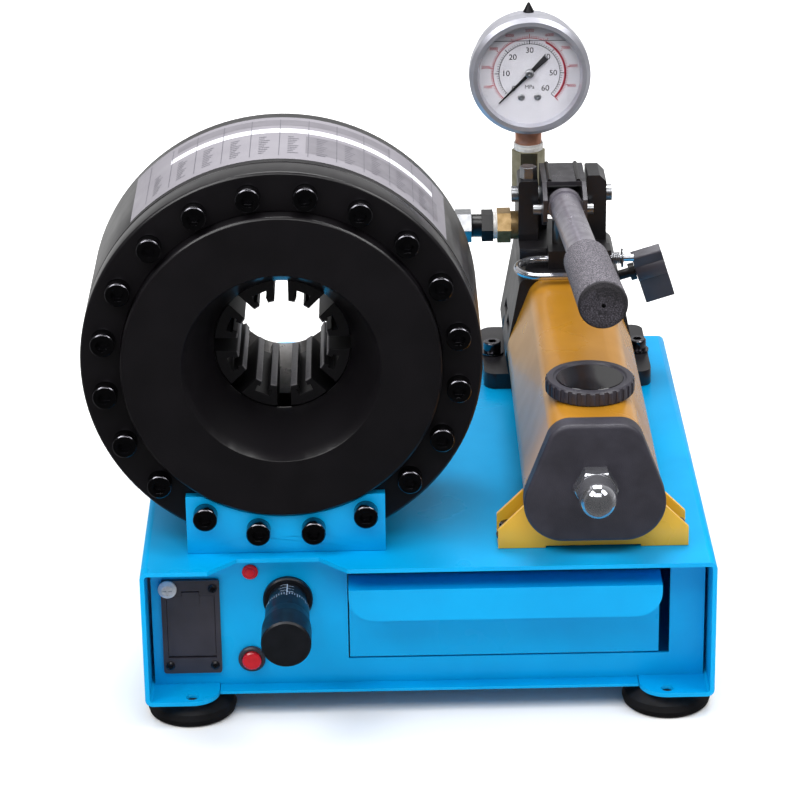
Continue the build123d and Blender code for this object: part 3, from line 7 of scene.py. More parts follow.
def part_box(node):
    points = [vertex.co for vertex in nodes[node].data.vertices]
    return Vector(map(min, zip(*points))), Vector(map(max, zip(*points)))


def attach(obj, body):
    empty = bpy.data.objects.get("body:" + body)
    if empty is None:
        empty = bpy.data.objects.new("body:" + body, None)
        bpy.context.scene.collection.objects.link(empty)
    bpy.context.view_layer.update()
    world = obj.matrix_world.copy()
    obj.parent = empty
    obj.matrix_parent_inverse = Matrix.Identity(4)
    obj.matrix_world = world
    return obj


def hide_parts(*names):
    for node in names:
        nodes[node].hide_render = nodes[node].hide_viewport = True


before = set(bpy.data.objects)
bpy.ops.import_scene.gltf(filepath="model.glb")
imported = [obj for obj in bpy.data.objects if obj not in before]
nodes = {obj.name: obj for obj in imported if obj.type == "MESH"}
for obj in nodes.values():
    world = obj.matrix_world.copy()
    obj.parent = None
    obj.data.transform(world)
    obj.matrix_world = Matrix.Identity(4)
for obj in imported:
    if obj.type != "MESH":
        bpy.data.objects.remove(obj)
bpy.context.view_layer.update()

MM = 0.001
HEAD = "bench_body"


# ---------------------------------------------------------------- colour and material tools
def linear(code):
    """An sRGB hex colour as linear RGBA."""
    parts = [int(code[k:k + 2], 16) / 255 for k in (1, 3, 5)]
    return tuple(c / 12.92 if c <= 0.04045 else ((c + 0.055) / 1.055) ** 2.4 for c in parts) + (1.0,)


def per_mm(size):
    """The texture scale at which one feature of a pattern is that many millimetres."""
    return 1.0 / (size * MM)


def add(tree, kind, inputs=None, **settings):
    """Add a node; inputs maps sockets to a value or to another node's output."""
    piece = tree.nodes.new(kind)
    for key, value in settings.items():
        setattr(piece, key, value)
    feed(tree, piece, inputs or {})
    return piece


def feed(tree, piece, inputs):
    for key, value in inputs.items():
        if isinstance(value, bpy.types.NodeSocket):
            tree.links.new(value, piece.inputs[key])
        else:
            piece.inputs[key].default_value = value


def start(name, **sockets):
    """A material with its shader's sockets set, ready for patterns."""
    material = bpy.data.materials.new(name)
    material.use_nodes = True
    tree = material.node_tree
    shader = tree.nodes["Principled BSDF"]
    feed(tree, shader, {key.replace("_", " "): value for key, value in sockets.items()})
    place = add(tree, "ShaderNodeTexCoord").outputs["Object"]
    return material, tree, shader, place


def finish(name, tone, second, roughness, patch_mm, grain_mm, depth_mm, sharp=0.5, **sockets):
    """Two close tones in soft patches, roughness that drifts with them, and a fine grain in relief."""
    material, tree, shader, place = start(name, **sockets)
    patches = add(tree, "ShaderNodeTexNoise", {"Vector": place, "Scale": per_mm(patch_mm), "Detail": 3.0})
    ramp = add(tree, "ShaderNodeValToRGB", {"Fac": patches.outputs["Fac"]})
    ramp.color_ramp.elements[0].position = 0.35
    ramp.color_ramp.elements[0].color = linear(second)
    ramp.color_ramp.elements[1].position = 0.65
    ramp.color_ramp.elements[1].color = linear(tone)
    drift = add(tree, "ShaderNodeMapRange",
                {"Value": patches.outputs["Fac"], "From Min": 0.3, "From Max": 0.7,
                                             "To Min": roughness * 1.15, "To Max": roughness * 0.88})
    grain = add(tree, "ShaderNodeTexNoise", {"Vector": place, "Scale": per_mm(grain_mm), "Detail": 2.0,
                                             "Roughness": sharp})
    relief = add(tree, "ShaderNodeBump", {"Height": grain.outputs["Fac"], "Strength": 1.0,
                                          "Distance": depth_mm * MM})
    feed(tree, shader, {"Base Color": ramp.outputs["Color"], "Roughness": drift.outputs["Result"],
                        "Normal": relief.outputs["Normal"]})
    return material


# ---------------------------------------------------------------- finishes
# Sprayed and baked enamel on folded steel: strong even colour, a soft sheen and a faint orange peel.
blue_enamel = finish("sprayed_blue_enamel", "#02a1de", "#0199d6", 0.30, 60, 2.2, 0.010,
                     Specular_IOR_Level=0.12, Coat_Weight=0.03, Coat_Roughness=0.10)
yellow_enamel = finish("sprayed_yellow_enamel", "#efba35", "#e6ae2c", 0.28, 45, 2.5, 0.012,
                       Coat_Weight=0.25, Coat_Roughness=0.10)
# The tank's coat is the same yellow laid thicker, so it runs a little deeper and browner.
tank_enamel = finish("sprayed_tank_enamel", "#b67f22", "#ab761c", 0.28, 45, 2.5, 0.012,
                     Specular_IOR_Level=0.4, Coat_Weight=0.15, Coat_Roughness=0.12)
# Black enamel over turned steel: near black, low sheen, with the peel of a thick sprayed coat.
black_enamel = finish("glossy_black_enamel", "#141215", "#100e11", 0.32, 30, 1.6, 0.008,
                      Specular_IOR_Level=0.35, Coat_Weight=0.12, Coat_Roughness=0.2)
# The same paint over rough sand castings: the sand's grain shows through.
cast_black = finish("painted_black_casting", "#1c1a1e", "#151417", 0.34, 25, 1.1, 0.06)
# Wrinkle powder coat: short pebbly folds that scatter the light.
wrinkle_black = finish("wrinkle_black_powder_coat", "#35333d", "#2b2932", 0.5, 18, 0.9, 0.16, sharp=0.6)
# Oil-blackened screw steel: dark grey, with small sharp highlights.
blackened_steel = finish("oil_blackened_steel", "#6a696e", "#57565b", 0.2, 4, 0.6, 0.006, Metallic=1.0)
# Turned and milled steel with a film of oil: mid grey with broad soft highlights.
machined_steel = finish("oiled_machined_steel", "#8d8b8a", "#777574", 0.3, 9, 0.5, 0.008, Metallic=1.0)
# Bright zinc plate: slightly milky grey metal.
zinc_plate = finish("bright_zinc_plate", "#b9babd", "#a5a7ab", 0.34, 6, 0.8, 0.006, Metallic=1.0)
# Olive chromated zinc: yellow-green cast over the metal.
olive_zinc = finish("olive_chromated_zinc", "#b5b097", "#9c977d", 0.36, 8, 0.8, 0.008, Metallic=1.0)
# Chrome plate: mirror with hardly any grain.
chrome_plate = finish("polished_chrome_plate", "#c9cad0", "#bfc0c6", 0.1, 20, 3.0, 0.002, Metallic=0.9)
# Satin stainless sheet, spun: a pale, broad sheen and no mirror.
stainless = finish("satin_stainless_sheet", "#c6c6cf", "#b8b8c2", 0.34, 12, 1.0, 0.003, Metallic=0.7)
# Turned brass, a little tarnished.
turned_brass = finish("tarnished_turned_brass", "#b0946a", "#93784e", 0.36, 5, 0.7, 0.006, Metallic=0.7)
# Turned copper-coloured bronze of the gauge's neck.
neck_bronze = finish("turned_bronze", "#c88f76", "#b57c62", 0.34, 5, 0.7, 0.006, Metallic=0.4)
# Moulded ABS with a light spark-eroded texture.
moulded_black = finish("moulded_black_abs", "#3a3841", "#323039", 0.42, 20, 0.5, 0.02)
# Polished mould face of the same plastic.
polished_black = finish("polished_black_abs", "#141316", "#111013", 0.12, 25, 4.0, 0.004)
# Dense vulcanised rubber.
foot_rubber = finish("vulcanised_black_rubber", "#121115", "#0e0d10", 0.6, 12, 0.8, 0.03,
                     Specular_IOR_Level=0.3)
# Red translucent moulding, polished.
red_moulding = finish("red_polished_moulding", "#c81f2b", "#b81a26", 0.18, 6, 3.0, 0.002, Coat_Weight=0.4,
                      Coat_Roughness=0.05)
# Dark anodised aluminium with fine turning marks.
dark_anodised = finish("dark_anodised_aluminium", "#1a1d24", "#14171d", 0.38, 10, 0.4, 0.01, Metallic=0.3)
# White enamelled scale plate.
scale_white = finish("white_enamelled_plate", "#f1f0f8", "#ecebf4", 0.4, 20, 2.0, 0.002)
# Printing inks, flat and thin.
black_ink = finish("black_printing_ink", "#17161a", "#141316", 0.5, 5, 1.0, 0.001)
red_ink = finish("red_printing_ink", "#d03448", "#c62c40", 0.5, 5, 1.0, 0.001)
grey_ink = finish("grey_printing_ink", "#5f5d66", "#57555e", 0.45, 5, 1.0, 0.001)
# Grey tint of the chart's printed bands.
grey_band = finish("grey_tint_band", "#77747b", "#6f6c73", 0.4, 20, 2.0, 0.002)
# Pale ink of the micrometer's scales.
pale_ink = finish("pale_printing_ink", "#9fb0c4", "#93a4b8", 0.5, 5, 1.0, 0.001)
# Thread tape: thin white plastic film, wound and slightly crumpled.
thread_tape = finish("white_thread_tape", "#e9e7e4", "#d6d3cf", 0.55, 3, 0.9, 0.25)
# Silvered label film: pale satin sheet.
label_film = finish("silvered_label_film", "#98959c", "#908d94", 0.5, 40, 6.0, 0.01,
                    Metallic=0.3, Specular_IOR_Level=0.12)


def two_part(name, share_of, first, second, roughness, **sockets):
    """One piece worked in two ways; share_of builds the mask, 0 for the first tone and 1 for the second."""
    material, tree, shader, place = start(name, Roughness=roughness, **sockets)
    grain = add(tree, "ShaderNodeTexNoise", {"Vector": place, "Scale": per_mm(2.2), "Detail": 3.0})
    tones = add(tree, "ShaderNodeMix", {0: share_of(tree, place), 6: linear(first), 7: linear(second)},
                data_type="RGBA")
    drift = add(tree, "ShaderNodeMapRange", {"Value": grain.outputs["Fac"], "To Min": 0.72, "To Max": 1.25})
    worked = add(tree, "ShaderNodeVectorMath", {0: tones.outputs[2], 1: drift.outputs["Result"]},
                 operation="MULTIPLY")
    relief = add(tree, "ShaderNodeBump", {"Height": grain.outputs["Fac"], "Strength": 1.0,
                                          "Distance": 0.01 * MM})
    feed(tree, shader, {"Base Color": worked.outputs[0], "Normal": relief.outputs["Normal"]})
    return material


def outside_bore(tree, place):
    """0 on the jaws' bore lands, 1 further out from the head's axis."""
    low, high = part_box("cylinder_body")
    axis = ((low.x + high.x) / 2, 0.0, (low.z + high.z) / 2)
    off_axis = add(tree, "ShaderNodeVectorMath", {0: place, 1: axis}, operation="SUBTRACT")
    across = add(tree, "ShaderNodeVectorMath", {0: off_axis.outputs[0], 1: (1.0, 0.0, 1.0)},
                 operation="MULTIPLY")
    reach = add(tree, "ShaderNodeVectorMath", {0: across.outputs[0]}, operation="LENGTH")
    return add(tree, "ShaderNodeMapRange", {"Value": reach.outputs["Value"], "From Min": 30.3 * MM,
                                            "From Max": 31.2 * MM}).outputs["Result"]


def small_screws(tree, place):
    """0 on the plated screw at the top left of the battery box, 1 on the other three."""
    low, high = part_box("battery_box")
    spot = add(tree, "ShaderNodeSeparateXYZ", {0: place})
    right = add(tree, "ShaderNodeMath", {0: spot.outputs["X"], 1: (low.x + high.x) / 2},
                operation="GREATER_THAN")
    below = add(tree, "ShaderNodeMath", {0: spot.outputs["Z"], 1: (low.z + high.z) / 2},
                operation="LESS_THAN")
    return add(tree, "ShaderNodeMath", {0: right.outputs[0], 1: below.outputs[0]},
               operation="MAXIMUM").outputs[0]


# Lever socket: black enamel whose base colour is lightened to grey all over, a painted reflection of the
# bright room on its roof.
reflection_greyed_black = finish("black_enamel_greyed_as_painted_reflection", "#3d3b40", "#2e2c31", 0.3, 9, 1.2, 0.01, Metallic=0.3)
# Lever tube: drawn steel, grey and bright where hands slide along it.
worn_tube = finish("drawn_steel_tube", "#98949e", "#837f89", 0.3, 7, 0.8, 0.01, Metallic=0.6)
# Jaws: ground bore lands on black-oxided steel.
jaw_steel = two_part("ground_and_oxided_steel", outside_bore, "#8a888c", "#222124", 0.45, Metallic=0.5)
def above_case(tree, place):
    """0 on the gauge's case, 1 on the filling plug that stands on top of it."""
    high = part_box("gauge_bezel")[1]
    spot = add(tree, "ShaderNodeSeparateXYZ", {0: place})
    return add(tree, "ShaderNodeMath", {0: spot.outputs["Z"], 1: high.z - 2.0 * MM},
               operation="GREATER_THAN").outputs[0]


# Gauge case: satin stainless with a black rubber plug.
case_steel = two_part("stainless_case_and_plug", above_case, "#c6c6cf", "#161518", 0.34, Metallic=0.7)
# Battery box screws: one bright plated, the others blackened.
box_screws = two_part("plated_and_black_screws", small_screws, "#d8d9dc", "#1d1c20", 0.3, Metallic=0.4)


def speckled_foam():
    """Nitrile foam of the hand grip: grey skin pricked with pale cells, a dark rim, a darker cut end."""
    material, tree, shader, place = start("speckled_nitrile_foam", Roughness=0.8)
    skin = nodes["lever_grip"].data.vertices
    tube = nodes["lever_tube"].data.vertices
    rear = max(tube, key=lambda v: v.co.y).co
    front = min(skin, key=lambda v: v.co.y).co
    forward = (Vector(front) - Vector(rear)).normalized()
    reach = max(v.co.dot(forward) for v in skin)
    along = add(tree, "ShaderNodeVectorMath", {0: place, 1: forward}, operation="DOT_PRODUCT")
    rim = add(tree, "ShaderNodeMapRange", {"Value": along.outputs["Value"], "From Min": reach - 6.5 * MM,
                                           "From Max": reach - 4.5 * MM})
    cut = add(tree, "ShaderNodeMapRange", {"Value": along.outputs["Value"], "From Min": reach - 2.2 * MM,
                                           "From Max": reach - 1.2 * MM})
    cells = add(tree, "ShaderNodeTexNoise", {"Vector": place, "Scale": per_mm(0.9), "Detail": 2.0})
    tones = []
    for low, high in (("#3a373f", "#8b878f"), ("#141217", "#2a272d"), ("#1a171e", "#45414a")):
        ramp = add(tree, "ShaderNodeValToRGB", {"Fac": cells.outputs["Fac"]})
        ramp.color_ramp.elements[0].position = 0.42
        ramp.color_ramp.elements[0].color = linear(low)
        ramp.color_ramp.elements[1].position = 0.68
        ramp.color_ramp.elements[1].color = linear(high)
        tones.append(ramp.outputs["Color"])
    sides = add(tree, "ShaderNodeMix", {0: rim.outputs["Result"], 6: tones[0], 7: tones[1]}, data_type="RGBA")
    whole = add(tree, "ShaderNodeMix", {0: cut.outputs["Result"], 6: sides.outputs[2], 7: tones[2]},
                data_type="RGBA")
    relief = add(tree, "ShaderNodeBump", {"Height": cells.outputs["Fac"], "Strength": 1.0,
                                          "Distance": 0.25 * MM})
    feed(tree, shader, {"Base Color": whole.outputs[2], "Normal": relief.outputs["Normal"]})
    return material


def clear_cover():
    """Flat cover glass: it lets the lamps' light through to the dial."""
    material, tree, shader, _ = start("clear_cover_glass", Roughness=0.02, IOR=1.5, Transmission_Weight=1.0)
    rays = add(tree, "ShaderNodeLightPath")
    open_way = add(tree, "ShaderNodeBsdfTransparent")
    mixed = add(tree, "ShaderNodeMixShader", {0: rays.outputs["Is Shadow Ray"], 1: shader.outputs["BSDF"],
                                              2: open_way.outputs["BSDF"]})
    output = tree.nodes["Material Output"]
    tree.links.new(mixed.outputs["Shader"], output.inputs["Surface"])
    return material


foam = speckled_foam()
cover_glass = clear_cover()

FINISH_OF = {
    blue_enamel: ["base_frame", "front_panel", "head_saddle_front", "head_saddle_rear", "drawer",
                  "drawer_runners"],
    yellow_enamel: ["tank_bracket"],
    tank_enamel: ["oil_tank"],
    black_enamel: ["cylinder_body", "front_ring", "front_cone", "rear_gland", "line_nipple", "release_stem"],
    # the socket's grey tone is a painted reflection over black enamel
    reflection_greyed_black: ["lever_socket"],
    worn_tube: ["lever_tube"],
    cast_black: ["pump_body"],
    wrinkle_black: ["tank_end_cap"],
    blackened_steel: ["ring_bolts", "saddle_bolts", "pump_bolts"],
    machined_steel: ["piston", "plunger", "micrometer_spindle"],
    jaw_steel: [f"jaw_{k}" for k in range(1, 9)],
    zinc_plate: ["pivot_pin", "link_pin", "relief_plug", "hydraulic_pipe", "pipe_nuts"],
    box_screws: ["battery_box_screws"],
    olive_zinc: ["gauge_adapter"],
    chrome_plate: ["tie_rod", "lock_hook"],
    stainless: ["gauge_bezel"],
    case_steel: ["gauge_case"],
    turned_brass: ["outlet_adapter"],
    moulded_black: ["battery_box", "battery_door", "button_body", "release_knob", "filler_cap"],
    foot_rubber: ["rubber_feet", "piston_seal"],
    foam: ["lever_grip"],
    red_moulding: ["indicator_lamp", "button_cap"],
    dark_anodised: ["micrometer_sleeve", "micrometer_thimble"],
    scale_white: ["gauge_dial"],
    black_ink: ["gauge_needle"],
    cover_glass: ["gauge_glass"],
}
for material, names in FINISH_OF.items():
    for name in names:
        for slot in nodes[name].material_slots:
            slot.material = material


# ---------------------------------------------------------------- softened edges
def soften(name, width_mm):
    """Small rounded edges that catch the light, as paint and tooling leave them."""
    piece = nodes[name]
    joined = piece.modifiers.new("joined", "WELD")
    joined.merge_threshold = 0.01 * MM
    edge = piece.modifiers.new("edge", "BEVEL")
    edge.width = width_mm * MM
    edge.segments = 2
    edge.limit_method = "ANGLE"
    edge.angle_limit = radians(38)
    edge.harden_normals = True


EDGES = {
    0.5: ["base_frame", "head_saddle_front", "head_saddle_rear", "drawer", "tank_bracket"],
    0.8: ["pump_body"],
    0.4: ["front_ring", "cylinder_body", "front_cone", "rear_gland"] + [f"jaw_{k}" for k in range(1, 9)],
    0.25: ["ring_bolts", "saddle_bolts", "pump_bolts", "battery_box", "battery_door", "release_knob",
           "pipe_nuts", "outlet_adapter", "line_nipple", "gauge_adapter", "relief_plug", "lever_socket",
           "tie_rod", "filler_cap"],
}
for width, names in EDGES.items():
    for name in names:
        soften(name, width)


# ---------------------------------------------------------------- making pieces
def place_piece(piece, body):
    bpy.context.scene.collection.objects.link(piece)
    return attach(piece, body)


def mesh_piece(name, points, faces, material, body, smooth=False):
    mesh = bpy.data.meshes.new(name)
    mesh.from_pydata([tuple(p) for p in points], [], faces)
    mesh.polygons.foreach_set("use_smooth", [smooth] * len(mesh.polygons))
    mesh.materials.append(material)
    mesh.update()
    return place_piece(bpy.data.objects.new(name, mesh), body)


def spun(name, profile, origin, along, material, body, steps=64, smooth=True):
    """A closed profile of (distance, radius) spun about a line."""
    along = Vector(along).normalized()
    side = along.orthogonal().normalized()
    other = along.cross(side)
    points = []
    for k in range(steps):
        turn = 2 * pi * k / steps
        out = side * cos(turn) + other * sin(turn)
        points += [Vector(origin) + along * d + out * r for d, r in profile]
    count = len(profile)
    faces = [[k * count + j, k * count + (j + 1) % count, (k + 1) % steps * count + (j + 1) % count,
              (k + 1) % steps * count + j] for k in range(steps) for j in range(count)]
    return mesh_piece(name, points, faces, material, body, smooth=smooth)


def wire(name, points, radius, material, body, cyclic=False):
    """A round wire along a smooth run of points."""
    curve = bpy.data.curves.new(name, "CURVE")
    curve.dimensions = "3D"
    curve.bevel_depth = radius
    curve.bevel_resolution = 3
    curve.use_fill_caps = True
    spline = curve.splines.new("POLY")
    spline.points.add(len(points) - 1)
    for spot, point in zip(spline.points, points):
        spot.co = (*point, 1.0)
    spline.use_cyclic_u = cyclic
    curve.materials.append(material)
    return place_piece(bpy.data.objects.new(name, curve), body)


# ---------------------------------------------------------------- label film on the head
body_low, body_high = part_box("cylinder_body")
HEAD_AXIS = Vector(((body_low.x + body_high.x) / 2, 0, (body_low.z + body_high.z) / 2))
HEAD_RADIUS = (body_high.x - body_low.x) / 2


def on_head(turn, y, lift):
    """A point over the head's barrel; turn is in degrees from the top, to the right."""
    out = HEAD_RADIUS + lift
    return Vector((HEAD_AXIS.x + out * sin(radians(turn)), y, HEAD_AXIS.z + out * cos(radians(turn))))


def barrel_patch(name, turn_from, turn_to, y_from, y_to, lift, material, steps=48):
    points = []
    for k in range(steps + 1):
        turn = turn_from + (turn_to - turn_from) * k / steps
        points += [on_head(turn, y_from, lift), on_head(turn, y_to, lift)]
    faces = [[2 * k, 2 * k + 2, 2 * k + 3, 2 * k + 1] for k in range(steps)]
    return mesh_piece(name, points, faces, material, HEAD, smooth=True)


FILM_FROM, FILM_TO = -47, 56
film_front = body_low.y + 6 * MM
film_rear = body_high.y - 12 * MM
barrel_patch("label_film", FILM_FROM, FILM_TO, film_front, film_rear, 0.15 * MM, label_film)

# a printed chart: a dark heading band, a pale band, and columns of small marks between rules
def film_y(share):
    return film_front + (film_rear - film_front) * share


barrel_patch("chart_heading", FILM_FROM + 16, FILM_TO - 22, film_y(0.80), film_y(0.93), 0.22 * MM, grey_band)
barrel_patch("chart_pale_band", FILM_FROM + 14, FILM_TO - 6, film_y(0.62), film_y(0.72), 0.22 * MM,
             scale_white)
barrel_patch("chart_foot", 8, FILM_TO - 4, film_y(0.16), film_y(0.56), 0.22 * MM, grey_band)
for k in range(12):
    turn = FILM_FROM + 6 + (FILM_TO - FILM_FROM - 12) * k / 11
    barrel_patch(f"chart_rule_{k}", turn, turn + 0.2, film_y(0.08), film_y(0.94), 0.28 * MM,
                 grey_ink, steps=1)
for column in range(11):
    turn = FILM_FROM + 8.5 + (FILM_TO - FILM_FROM - 12) * column / 11
    for row in range(10):
        y = film_y(0.14 + 0.042 * row)
        wide = 1.6 + 0.5 * ((column * 3 + row * 5) % 4)
        barrel_patch(f"chart_mark_{column}_{row}", turn, turn + wide, y, y + 0.9 * MM, 0.30 * MM, grey_ink,
                     steps=2)

# ---------------------------------------------------------------- gauge dial
dial_low, dial_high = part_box("gauge_dial")
DIAL = Vector(((dial_low.x + dial_high.x) / 2, dial_low.y, (dial_low.z + dial_high.z) / 2))
ZERO_TURN, FULL_TURN = -135, 135


def on_dial(turn, radius_mm, lift_mm=0.15):
    """A point on the dial; turn is in degrees clockwise from the top, seen from the front."""
    out = radius_mm * MM
    return DIAL + Vector((out * sin(radians(turn)), -lift_mm * MM, out * cos(radians(turn))))


def dial_band(name, inner_mm, outer_mm, material, turn_from=ZERO_TURN, turn_to=FULL_TURN, steps=90):
    points = []
    for k in range(steps + 1):
        turn = turn_from + (turn_to - turn_from) * k / steps
        points += [on_dial(turn, inner_mm), on_dial(turn, outer_mm)]
    faces = [[2 * k, 2 * k + 1, 2 * k + 3, 2 * k + 2] for k in range(steps)]
    return mesh_piece(name, points, faces, material, HEAD)


def dial_ticks(name, count, long_every, inner_mm, short_mm, long_mm, width_mm, material):
    """Radial marks from the inner radius outwards (or inwards, when the lengths are negative)."""
    points, faces = [], []
    for k in range(count + 1):
        turn = ZERO_TURN + (FULL_TURN - ZERO_TURN) * k / count
        length = long_mm if k % long_every == 0 else short_mm
        wide = width_mm * (1.5 if k % long_every == 0 else 1.0)
        across = Vector((cos(radians(turn)), 0, -sin(radians(turn)))) * wide * MM / 2
        near, far = on_dial(turn, inner_mm), on_dial(turn, inner_mm + length)
        base = len(points)
        points += [near - across, near + across, far + across, far - across]
        faces.append([base, base + 1, base + 2, base + 3])
    return mesh_piece(name, points, faces, material, HEAD)


def dial_number(text, turn, radius_mm, size_mm, material):
    label = bpy.data.curves.new(f"number_{text}_{size_mm}", "FONT")
    label.body = text
    label.size = size_mm * MM
    label.align_x = "CENTER"
    label.align_y = "CENTER"
    label.extrude = 0.02 * MM
    label.materials.append(material)
    piece = bpy.data.objects.new(f"dial_number_{text}_{int(size_mm * 10)}_{int(turn)}", label)
    piece.matrix_world = Matrix.Translation(on_dial(turn, radius_mm)) @ Matrix.Rotation(radians(90), 4, "X")
    return place_piece(piece, HEAD)


def sweep_turn(share):
    return ZERO_TURN + (FULL_TURN - ZERO_TURN) * share


dial_band("inner_scale_arc", 22.2, 22.6, black_ink)
dial_ticks("inner_scale_ticks", 60, 10, 22.6, 1.6, 3.0, 0.34, black_ink)
dial_band("outer_scale_arc", 26.6, 27.0, red_ink)
dial_ticks("outer_scale_ticks", 100, 10, 27.0, 1.5, 2.8, 0.36, red_ink)
dial_band("high_pressure_arc", 25.5, 27.0, red_ink, sweep_turn(0.6), sweep_turn(1.0))
for k in range(7):
    dial_number(str(10 * k), sweep_turn(k / 6), 16.4 if k in (0, 6) else 17.4, 6.0, black_ink)
for k in range(1, 10):
    dial_number(str(1000 * k), sweep_turn(k / 10), 32.4, 3.2, red_ink)
dial_number("MPa", 180, 10.5, 4.2, black_ink)
for side in (-1, 1):
    spun(f"dial_screw_{side + 2}",
         [(0, 0.01 * MM), (0, 2.7 * MM), (0.7 * MM, 2.4 * MM), (0.9 * MM, 0.01 * MM)],
         on_dial(180 + side * 18, 19.2, 0), (0, -1, 0), zinc_plate, HEAD, steps=24)
spun("needle_boss", [(0, 0.01 * MM), (0, 3.4 * MM), (1.2 * MM, 3.0 * MM), (1.4 * MM, 0.01 * MM)],
     on_dial(0, 0, 1.8), (0, -1, 0), zinc_plate, "needle", steps=32)

# the damping liquid's level shows as a fine line across the top of the dial
level_half = 27.0
level_up = 24.5
liquid = [DIAL + Vector((x * MM, -0.2 * MM, z * MM)) for x, z in
          ((-level_half, level_up), (level_half, level_up),
           (level_half, level_up + 0.5), (-level_half, level_up + 0.5))]
mesh_piece("liquid_level", liquid, [[0, 1, 2, 3]], grey_ink, HEAD)

# ---------------------------------------------------------------- gauge neck and thread tape
stem_low, stem_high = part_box("gauge_adapter")
stem = Vector(((stem_low.x + stem_high.x) / 2, (stem_low.y + stem_high.y) / 2, stem_high.z))
spun("gauge_neck", [(0, 9.55 * MM), (0, 9.85 * MM), (18 * MM, 9.85 * MM), (18 * MM, 9.55 * MM)], stem,
     (0, 0, 1), neck_bronze, HEAD, steps=48)


def tape_winding(name, origin, along, radius_mm, length_mm):
    """Thread tape wound in overlapping turns, each a little off the last."""
    profile = [(0, (radius_mm - 1) * MM), (0, radius_mm * MM)]
    turns = 5
    for k in range(turns):
        step = length_mm / turns
        swell = 0.35 + 0.2 * ((k * 7) % 3)
        profile += [((k + 0.3) * step * MM, (radius_mm + swell) * MM),
                    ((k + 0.8) * step * MM, (radius_mm + swell * 0.8) * MM)]
    profile += [(length_mm * MM, radius_mm * MM), (length_mm * MM, (radius_mm - 1) * MM)]
    return spun(name, profile, origin, along, thread_tape, HEAD)


tape_winding("gauge_thread_tape", stem, (0, 0, 1), 10.4, 5.5)
nipple_low, nipple_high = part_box("line_nipple")
line_y = (nipple_low.y + nipple_high.y) / 2
line_z = (nipple_low.z + nipple_high.z) / 2
tape_winding("line_thread_tape", (nipple_high.x - 3.6 * MM, line_y, line_z), (1, 0, 0), 9.6, 4.0)

# ---------------------------------------------------------------- hook spring and washer
spring_low, spring_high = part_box("hook_spring")
spring_y = (spring_low.y + spring_high.y) / 2
spring_z = (spring_low.z + spring_high.z) / 2
washer_face = spring_high.x - 1.2 * MM
washer_r = (spring_high.z - spring_low.z) / 2
turns, wire_r, coil_r = 5, 0.6 * MM, 3.8 * MM
helix = []
for k in range(turns * 24 + 1):
    share = k / (turns * 24)
    turn = 2 * pi * turns * share
    x = spring_low.x + wire_r + (washer_face - spring_low.x - 2 * wire_r) * share
    helix.append((x, spring_y + coil_r * cos(turn), spring_z + coil_r * sin(turn)))
spring = wire("hook_coil_spring", helix, wire_r, zinc_plate, HEAD)
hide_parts("hook_spring")
spun("hook_washer", [(0, 2.9 * MM), (0, washer_r), (1.2 * MM, washer_r), (1.2 * MM, 2.9 * MM)],
     (washer_face, spring_y, spring_z), (1, 0, 0), zinc_plate, HEAD)

# ---------------------------------------------------------------- micrometer scale
thimble_low, thimble_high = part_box("micrometer_thimble")
dial_x = (thimble_low.x + thimble_high.x) / 2
dial_z = (thimble_low.z + thimble_high.z) / 2
SLEEVE_R = 13.0 * MM


def barrel_mark(name, radius, turn_from, turn_to, y_from, y_to, body, steps=6):
    """A printed mark on the micrometer's sleeve or thimble."""
    points = []
    for k in range(steps + 1):
        turn = radians(turn_from + (turn_to - turn_from) * k / steps)
        for y in (y_from, y_to):
            points.append((dial_x + radius * sin(turn), y, dial_z + radius * cos(turn)))
    faces = [[2 * k, 2 * k + 2, 2 * k + 3, 2 * k + 1] for k in range(steps)]
    return mesh_piece(name, points, faces, pale_ink, body)


scale_start = thimble_high.y
SCALE_R = SLEEVE_R + 0.08 * MM
barrel_mark("sleeve_datum_line", SCALE_R, -1.5, 1.5, scale_start, scale_start + 14 * MM, HEAD)
for k in range(7):
    y = scale_start + (1 + 2 * k) * MM
    side = 1 if k % 2 else -1
    barrel_mark(f"sleeve_tick_{k}", SCALE_R, 0, side * (26 if k % 4 == 0 else 20), y, y + 0.4 * MM, HEAD)
THIMBLE_SCALE_R = 14.72 * MM
for k in range(25):
    turn = -84 + 7.0 * k
    length = 4.2 if k % 4 == 0 else 2.6
    barrel_mark(f"thimble_tick_{k}", THIMBLE_SCALE_R, turn - 0.8, turn + 0.8,
                scale_start - (1.2 + length) * MM, scale_start - 1.2 * MM, "thimble", steps=2)

# ---------------------------------------------------------------- ribs on the lever socket
socket_low, socket_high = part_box("lever_socket")
for side in (-1, 1):
    x = (socket_low.x + socket_high.x) / 2 + side * 10.5 * MM
    run = [(x, socket_low.y + 21 * MM, socket_high.z), (x, socket_high.y - 0.8 * MM, socket_high.z)]
    wire(f"socket_rib_{side + 2}", run, 1.7 * MM, black_enamel, "lever")

# ---------------------------------------------------------------- filler cap's polished top
cap_low, cap_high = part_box("filler_cap")
cap_centre = ((cap_low.x + cap_high.x) / 2, (cap_low.y + cap_high.y) / 2, cap_high.z - 1.2 * MM)
spun("filler_cap_plate", [(0, 0.01 * MM), (0, 22.5 * MM), (0.5 * MM, 22.0 * MM), (0.6 * MM, 0.01 * MM)],
     cap_centre, (0, 0, 1), polished_black, "filler", steps=72, smooth=False)

# ---------------------------------------------------------------- camera
lens_turn = (Matrix.Rotation(radians(-0.4462), 4, "Z") @ Matrix.Rotation(radians(90 - 22.810), 4, "X")
             @ Matrix.Rotation(radians(-0.8706), 4, "Z"))
camera = bpy.data.cameras.new("studio_camera")
camera.sensor_width = 36.0
camera.lens = 146.985
camera_piece = bpy.data.objects.new("studio_camera", camera)
camera_piece.matrix_world = Matrix.Translation((-0.03217, -2.13432, 1.03165)) @ lens_turn
bpy.context.scene.collection.objects.link(camera_piece)
bpy.context.scene.camera = camera_piece

